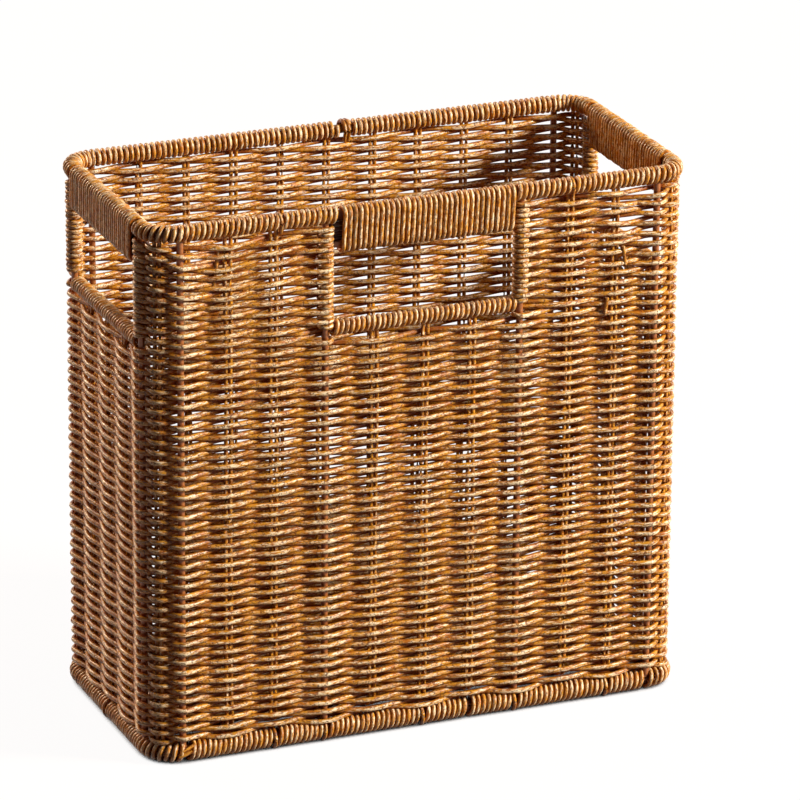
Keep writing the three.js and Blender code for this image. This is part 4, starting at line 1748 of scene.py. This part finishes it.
@dataclass(frozen=True)
class ResinCane:
    """Extruded polyethylene cane, coloured to look like rattan.

    Its streaks and flecks are mixed into the resin, and its skin is smooth enough to shine a little, so it
    looks golden with pale broken lights along it. Painted shade deepens it to red-brown in the crevices, and
    a painted highlight brings more pale streaks where each cane stands proud. Real cracks are a few
    hundredths of a millimetre wide, and are drawn as coarse as they need to show.

    Attributes:
        name: The material's name.
        body: The main colour.
        pale: Its pale streaks, also used as a painted highlight where the cane stands proud.
        deep: Its darker blotches.
        fleck: Its fine dark cracks.
        painted_crevice_shade: Painted shade, the colour between strands where the cane stands least proud.
        blotch: The darker blotches.
        streak: The pale streaks.
        patch: The patches that are cracked.
        crack: The cracks, whose edges are distances from their middle.
        crack_share: How much of the crack colour shows.
        bend_scale: Bends of a crack for the distance to the next.
        bend: How far it bends, in cracks.
        noise_share: How much each finer step of a pattern counts.
        painted_highlight_share: Painted highlight, more pale streaks where the cane stands proud.
        painted_crevice_shade_edges: How proud the cane is where painted shade starts and where it is darkest.
        painted_crevice_shade_share: How much of the painted shade between strands shows.
        tones: The noise along the cane between which its tone goes from dark to light.
        tone_shares: The darkest and the lightest tone, as shares of the colour.
        rough_edges: The noise of the blotches between which the skin goes from rough to smooth.
        rough: Roughness of the skin on the darkest blotches and on the palest.
        refraction: Index of refraction of the skin.
        shine_share: How much its shine counts.
        relief_share: How strong its relief is.
        relief: Height of the relief.
    """

    name: str
    body: str = "#CC8822"
    pale: str = "#F3D8AC"
    deep: str = "#AC600E"
    fleck: str = "#5A2200"
    painted_crevice_shade: str = "#883A08"
    blotch: Pattern = Pattern(3.0, 1.6, 2.0, 0.0, (0.34, 0.6))
    streak: Pattern = Pattern(0.7, 5.0, 2.0, 7.0, (0.6, 0.82))
    patch: Pattern = Pattern(1.5, 1.0, 1.0, 19.0, (0.42, 0.6))
    crack: Pattern = Pattern(1.5, 1.25, 1.0, 0.0, (0.17, 0.04))
    crack_share: float = 0.85
    bend_scale: float = 1.4
    bend: float = 0.9
    noise_share: float = 0.6
    painted_highlight_share: float = 0.095
    painted_crevice_shade_edges: Pair = (0.75, 0.0)
    painted_crevice_shade_share: float = 0.66
    tones: Pair = (0.3, 0.7)
    tone_shares: Pair = (0.84, 1.16)
    rough_edges: Pair = (0.3, 0.7)
    rough: Pair = (0.39, 0.21)
    refraction: float = 1.45
    shine_share: float = 0.3
    relief_share: float = 0.5
    relief: float = 0.18 * MM

    def material(self) -> bpy.types.Material:
        """Build the finish.

        Returns:
            The material.
        """
        material = bpy.data.materials.new(self.name)
        add = partial(add_node, clear_tree(material))
        lay, tone, proud = (
            add("ShaderNodeAttribute", attribute_type="GEOMETRY", attribute_name=name).outputs[output]
            for name, output in (("lay", "Vector"), ("tone", "Fac"), ("proud", "Fac"))
        )

        # Patterns on the cane's own surface, longer along the cane
        places, noises = [], []
        for pattern in (self.blotch, self.streak, self.patch, self.crack):
            scale = tuple(Vector((1, 1, 1 / pattern.stretch)) / (pattern.size * MM))
            place = {"Vector": lay, "Location": (pattern.shift,) * 3, "Scale": scale}
            places.append(add("ShaderNodeMapping", place))
        for place, pattern in zip(places, (self.blotch, self.streak, self.patch)):
            noise = {"Vector": place, "Scale": 1.0, "Detail": pattern.detail, "Roughness": self.noise_share}
            noises.append(add("ShaderNodeTexNoise", noise, noise_dimensions="3D").outputs[0])
        blotch, streak, patch = noises
        bend = {"Vector": places[-1], "Scale": self.bend_scale, "Detail": self.crack.detail}
        bend = add("ShaderNodeTexNoise", bend, noise_dimensions="3D").outputs["Color"]
        bend = add(VECTORS, {0: bend, 1: (self.bend,) * 3, 2: places[-1]}, operation="MULTIPLY_ADD")
        edge = {"Vector": bend, "Scale": 1.0}
        edge = add("ShaderNodeTexVoronoi", edge, feature="DISTANCE_TO_EDGE").outputs["Distance"]

        # Each pattern as a share from 0 to 1, with a painted highlight:
        # more pale streaks where the cane stands proud
        painted_highlight = add(MATHS, {0: proud, 1: self.painted_highlight_share, 2: streak}, operation="MULTIPLY_ADD")
        shares = []
        for value, edges in (
            (blotch, self.blotch.edges), (painted_highlight, self.streak.edges), (edge, self.crack.edges),
            (patch, self.patch.edges), (proud, self.painted_crevice_shade_edges),
        ):
            share = add("ShaderNodeMapRange", ranges(value, edges), interpolation_type="SMOOTHSTEP")
            shares.append(share)
        body_share, pale_streak_and_highlight_share, edge_share, patch_share, painted_crevice_shade_share = shares
        cracks = add(MATHS, {0: edge_share, 1: patch_share}, operation="MULTIPLY")
        crack_share = add(MATHS, {0: cracks, 1: self.crack_share}, operation="MULTIPLY")
        # Painted shade between strands, strongest where the cane stands least proud
        painted_crevice_shade_share = add(MATHS, {0: painted_crevice_shade_share, 1: self.painted_crevice_shade_share}, operation="MULTIPLY")

        # The colours over one another, with painted shade in the crevices, and the tone of the whole,
        # which also carries the painted shade that the Shade input gives hidden strands
        colour = linear(self.deep)
        for share, over in (
            (body_share, self.body), (pale_streak_and_highlight_share, self.pale), (crack_share, self.fleck),
            (painted_crevice_shade_share, self.painted_crevice_shade),
        ):
            mix = {0: share, 6: colour, 7: linear(over)}
            colour = add("ShaderNodeMix", mix, data_type="RGBA").outputs[2]
        # The tone varies at random along the cane; where Shade is set it also carries painted shade
        shade = add("ShaderNodeMapRange", ranges(tone, self.tones, self.tone_shares), clamp=False)
        colour = add(VECTORS, {0: colour, "Scale": shade}, operation="SCALE")

        rough = add("ShaderNodeMapRange", ranges(blotch, self.rough_edges, self.rough))
        height = add(MATHS, {0: streak, 1: cracks}, operation="SUBTRACT")
        bump = {"Height": height, "Strength": self.relief_share, "Distance": self.relief}
        bump = add("ShaderNodeBump", bump)
        shader = add("ShaderNodeBsdfPrincipled", {
            "Base Color": colour, "Roughness": rough, "IOR": self.refraction,
            "Specular IOR Level": self.shine_share, "Normal": bump,
        })
        add("ShaderNodeOutputMaterial", {"Surface": shader})
        return material


@dataclass(frozen=True)
class PowderCoat:
    """Satin powder coat, orange-brown, on steel wire.

    Baked powder leaves a fine orange-peel skin with a soft, even shine.

    Attributes:
        name: The material's name.
        colour: The coat's colour.
        worn: Where it is thin.
        worn_edges: The noise between which it goes from thick to thin.
        roughness: Of the skin.
        peel: Size of the orange peel in millimetres, drawn coarser than it is so that it shows.
        relief_share: How strong the peel is.
        relief: Height of the peel.
    """

    name: str = "powder_coated_steel_wire"
    colour: str = "#A86430"
    worn: str = "#8A4A1C"
    worn_edges: Pair = (0.4, 0.7)
    roughness: float = 0.36
    peel: float = 1.2
    relief_share: float = 0.2
    relief: float = 0.1 * MM

    def material(self) -> bpy.types.Material:
        """Build the finish.

        Returns:
            The material.
        """
        material = bpy.data.materials.new(self.name)
        add = partial(add_node, clear_tree(material))
        place = add("ShaderNodeTexCoord").outputs["Object"]
        peel = {"Vector": place, "Scale": 1 / (self.peel * MM), "Detail": 2.0}
        peel = add("ShaderNodeTexNoise", peel).outputs[0]
        share = add("ShaderNodeMapRange", ranges(peel, self.worn_edges))
        colour = {0: share, 6: linear(self.colour), 7: linear(self.worn)}
        colour = add("ShaderNodeMix", colour, data_type="RGBA").outputs[2]
        bump = add("ShaderNodeBump", {"Height": peel, "Strength": self.relief_share, "Distance": self.relief})
        shader = {"Base Color": colour, "Roughness": self.roughness, "Normal": bump}
        shader = add("ShaderNodeBsdfPrincipled", shader)
        add("ShaderNodeOutputMaterial", {"Surface": shader})
        return material


@dataclass(frozen=True)
class SoftBox:
    """A square soft box that faces the basket.

    Attributes:
        name: The lamp's name.
        azimuth: Degrees from straight in front, to the right where positive.
        elevation: Degrees above level.
        distance: From the point that it faces.
        size: Its width and height.
        power: Its power in watts.
        colour: The colour of its light.
        target_z: Height of the point that it faces.
    """

    name: str
    azimuth: float
    elevation: float
    distance: float
    size: float
    power: float
    colour: str = "#FFFFFF"
    target_z: float = 150 * MM

    def build(self) -> None:
        """Hang the lamp."""
        way = direction(math.radians(self.azimuth), math.radians(self.elevation))
        light = bpy.data.lights.new(self.name, "AREA")
        light.shape = "RECTANGLE"
        light.size = light.size_y = self.size
        light.energy = self.power
        light.color = linear(self.colour)[:3]
        lamp = new_object(self.name, light)
        lamp.location = UP * self.target_z + way * self.distance
        lamp.rotation_euler = way.to_track_quat("Z", "Y").to_euler()


@dataclass(frozen=True)
class WhiteFloor:
    """A floor that is white to the camera but for the shadow close to the basket.

    Attributes:
        half: Half its size.
        gap: How far it lies under the basket.
        paint: The colour that it throws back on the basket.
        seen_paint: The colour that the shadow keeps.
        contact: How far from the basket the shadow reaches.
        samples: Rays that look for the basket.
        open_edges: How open a place is where its own light starts and where it is full.
        glow_share: The full strength of that light.
    """

    half: float = 3000 * MM
    gap: float = 0.1 * MM
    paint: str = "#66523E"
    seen_paint: str = "#4A4038"
    contact: float = 60 * MM
    samples: int = 8
    open_edges: Pair = (0.14, 0.4)
    glow_share: float = 0.95

    def build(self) -> None:
        """Lay the floor."""
        corners = [(x * self.half, y * self.half, 0) for x, y in ((-1, -1), (1, -1), (1, 1), (-1, 1))]
        mesh = bpy.data.meshes.new("studio_floor")
        mesh.from_pydata(corners, [], [(0, 1, 2, 3)])
        floor = new_object("studio_floor", mesh)
        floor.location.z = -self.gap
        material = bpy.data.materials.new("white_floor")
        tree = clear_tree(material)
        add = partial(add_node, tree)
        paint, seen_paint = (
            add("ShaderNodeBsdfDiffuse", {"Color": linear(colour)})
            for colour in (self.paint, self.seen_paint)
        )
        # The glow fades where ambient occlusion finds the basket close, a painted contact shadow on the floor
        near = {"Distance": self.contact}
        near = add("ShaderNodeAmbientOcclusion", near, samples=self.samples).outputs["AO"]
        glow = add("ShaderNodeMapRange", ranges(near, self.open_edges, (0.0, self.glow_share)))
        glow = add("ShaderNodeEmission", {"Strength": glow, "Color": WHITE})
        both = add("ShaderNodeAddShader", {0: seen_paint, 1: glow})
        mix = add("ShaderNodeMixShader", {0: seen_share(tree), 1: paint, 2: both})
        add("ShaderNodeOutputMaterial", {"Surface": mix})
        mesh.materials.append(material)


def seen_share(tree: Tree) -> Node:
    """Tell the rays that show the background from those that light the basket.

    Args:
        tree: The tree of the floor's material or the world.

    Returns:
        A node that gives one for camera, glossy and transmission rays.
    """
    add = partial(add_node, tree)
    ray = add("ShaderNodeLightPath").outputs
    share = add(MATHS, {0: ray["Is Camera Ray"], 1: ray["Is Glossy Ray"]}, operation="MAXIMUM")
    return add(MATHS, {0: share, 1: ray["Is Transmission Ray"]}, operation="MAXIMUM")


@dataclass(frozen=True)
class Studio:
    """The camera, lamps, floor and white background.

    Attributes:
        azimuth: The camera's turn from straight in front, to the left where negative.
        elevation: The camera's angle above level.
        roll: The camera's roll.
        distance: From the camera to the point that it looks at.
        shift_right: How far that point lies right of the basket's axis, square to the view.
        shift_up: How far it lies above the basket's middle height, square to the view.
        lens: Focal length in millimetres.
        sensor: Width of the sensor in millimetres.
        nearest: The nearest that the camera shows.
        furthest: The furthest that it shows.
        lamps: The soft boxes.
    """

    azimuth: float = math.radians(-22.62)
    elevation: float = math.radians(20.36)
    roll: float = math.radians(0.45)
    distance: float = 2969.9 * MM
    shift_right: float = 14.61 * MM
    shift_up: float = 11.70 * MM
    lens: float = 256.2
    sensor: float = 36.0
    nearest: float = 100 * MM
    furthest: float = 100_000 * MM
    lamps: tuple[SoftBox, ...] = (
        SoftBox("key_soft_box", 59, 25, 3000 * MM, 600 * MM, 188),
        SoftBox("back_left_soft_box", -152, 22, 3000 * MM, 700 * MM, 83, "#FFE2C0"),
        SoftBox("overhead_soft_box", 0, 88, 2000 * MM, 800 * MM, 5),
    )

    def camera(self) -> None:
        """Place the camera at the photograph's angle."""
        back = direction(self.azimuth, self.elevation)
        right = (-back).cross(UP).normalized()
        up = right.cross(-back)
        low, high = cad_bounds
        target = UP * (Vector(low).z + Vector(high).z) / 2 + right * self.shift_right + up * self.shift_up
        place = target + back * self.distance
        rolled_right = right * math.cos(self.roll) + up * math.sin(self.roll)
        rolled_up = up * math.cos(self.roll) - right * math.sin(self.roll)
        lens = bpy.data.cameras.new("camera")
        lens.lens = self.lens
        lens.sensor_width = self.sensor
        lens.clip_start = self.nearest
        lens.clip_end = self.furthest
        camera = new_object("camera", lens)
        turn = Matrix((rolled_right, rolled_up, back)).transposed().to_4x4()
        camera.matrix_world = Matrix.Translation(place) @ turn
        bpy.context.scene.camera = camera

    def build(self) -> None:
        """Set the camera, the lamps, the floor and the background."""
        bpy.context.scene.view_settings.view_transform = "Standard"
        self.camera()
        for lamp in self.lamps:
            lamp.build()
        WhiteFloor().build()
        self.backdrop()

    @staticmethod
    def backdrop() -> None:
        """Make the world white to the camera and dark to the basket."""
        world = bpy.data.worlds.new("white_studio")
        bpy.context.scene.world = world
        tree = clear_tree(world)
        add = partial(add_node, tree)
        dark, white = (
            add("ShaderNodeBackground", {"Color": WHITE, "Strength": strength})
            for strength in (0.0, 1.0)
        )
        mix = add("ShaderNodeMixShader", {0: seen_share(tree), 1: dark, 2: white})
        add("ShaderNodeOutputWorld", {"Surface": mix})


def rim_line(node: str, wire: float, post_x: float) -> PlanLine:
    """Find the middle line of a rim wire.

    Args:
        node: The rim wire's CAD node.
        wire: Diameter of the wire.
        post_x: Distance of the corner posts from the basket's middle, where the corners start.

    Returns:
        The line.
    """
    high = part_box(node)[1]
    half_width, half_depth = high.x - wire / 2, high.y - wire / 2
    return PlanLine(half_width, half_depth, half_width - post_x)


def main() -> None:
    """Build the basket piece by piece and set the studio."""
    logging.basicConfig(level=logging.INFO, format="%(name)s: %(message)s")
    Studio().build()
    low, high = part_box("front_left_post")
    wire = high.x - low.x
    post_x = abs(middle("front_left_post").x)
    wall_plan, base_plan = (rim_line(node, wire, post_x) for node in ("top_rim_wire", "base_rim_wire"))
    skin = cane_skin_tree()
    woven = ResinCane("extruded_resin_cane_woven")
    wrapped = ResinCane(
        "extruded_resin_cane_wrapped", body="#CC8828", pale="#F3D6A8", deep="#B46814", crack_share=0.6,
    )
    workshop = Workshop(weave_tree(skin), winding_tree(skin), {
        Slot.WOVEN: woven.material(),
        Slot.WRAPPED: wrapped.material(),
        Slot.WIRE: PowderCoat().material(),
    })
    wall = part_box("back_wall")
    sill_bottom = middle("front_sill_bar").z - SILL_RADIUS
    walls = WallWeave(workshop, wall_plan, wall[0].z, wall[1].z, sill_bottom, wire)
    walls.build()
    Stakes(workshop, walls, middle("floor").z).build()
    WireFrame(workshop, wall_plan, base_plan, wire).build()
    jamb_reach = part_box("front_left_wall")[1].x - middle("front_left_jamb").x
    wrappings = Wrappings(workshop, walls, base_plan, jamb_reach)
    wrappings.rims()
    wrappings.hand_holes()
    FloorWeave(workshop, wall_plan).build()


if __name__ == "__main__":
    main()
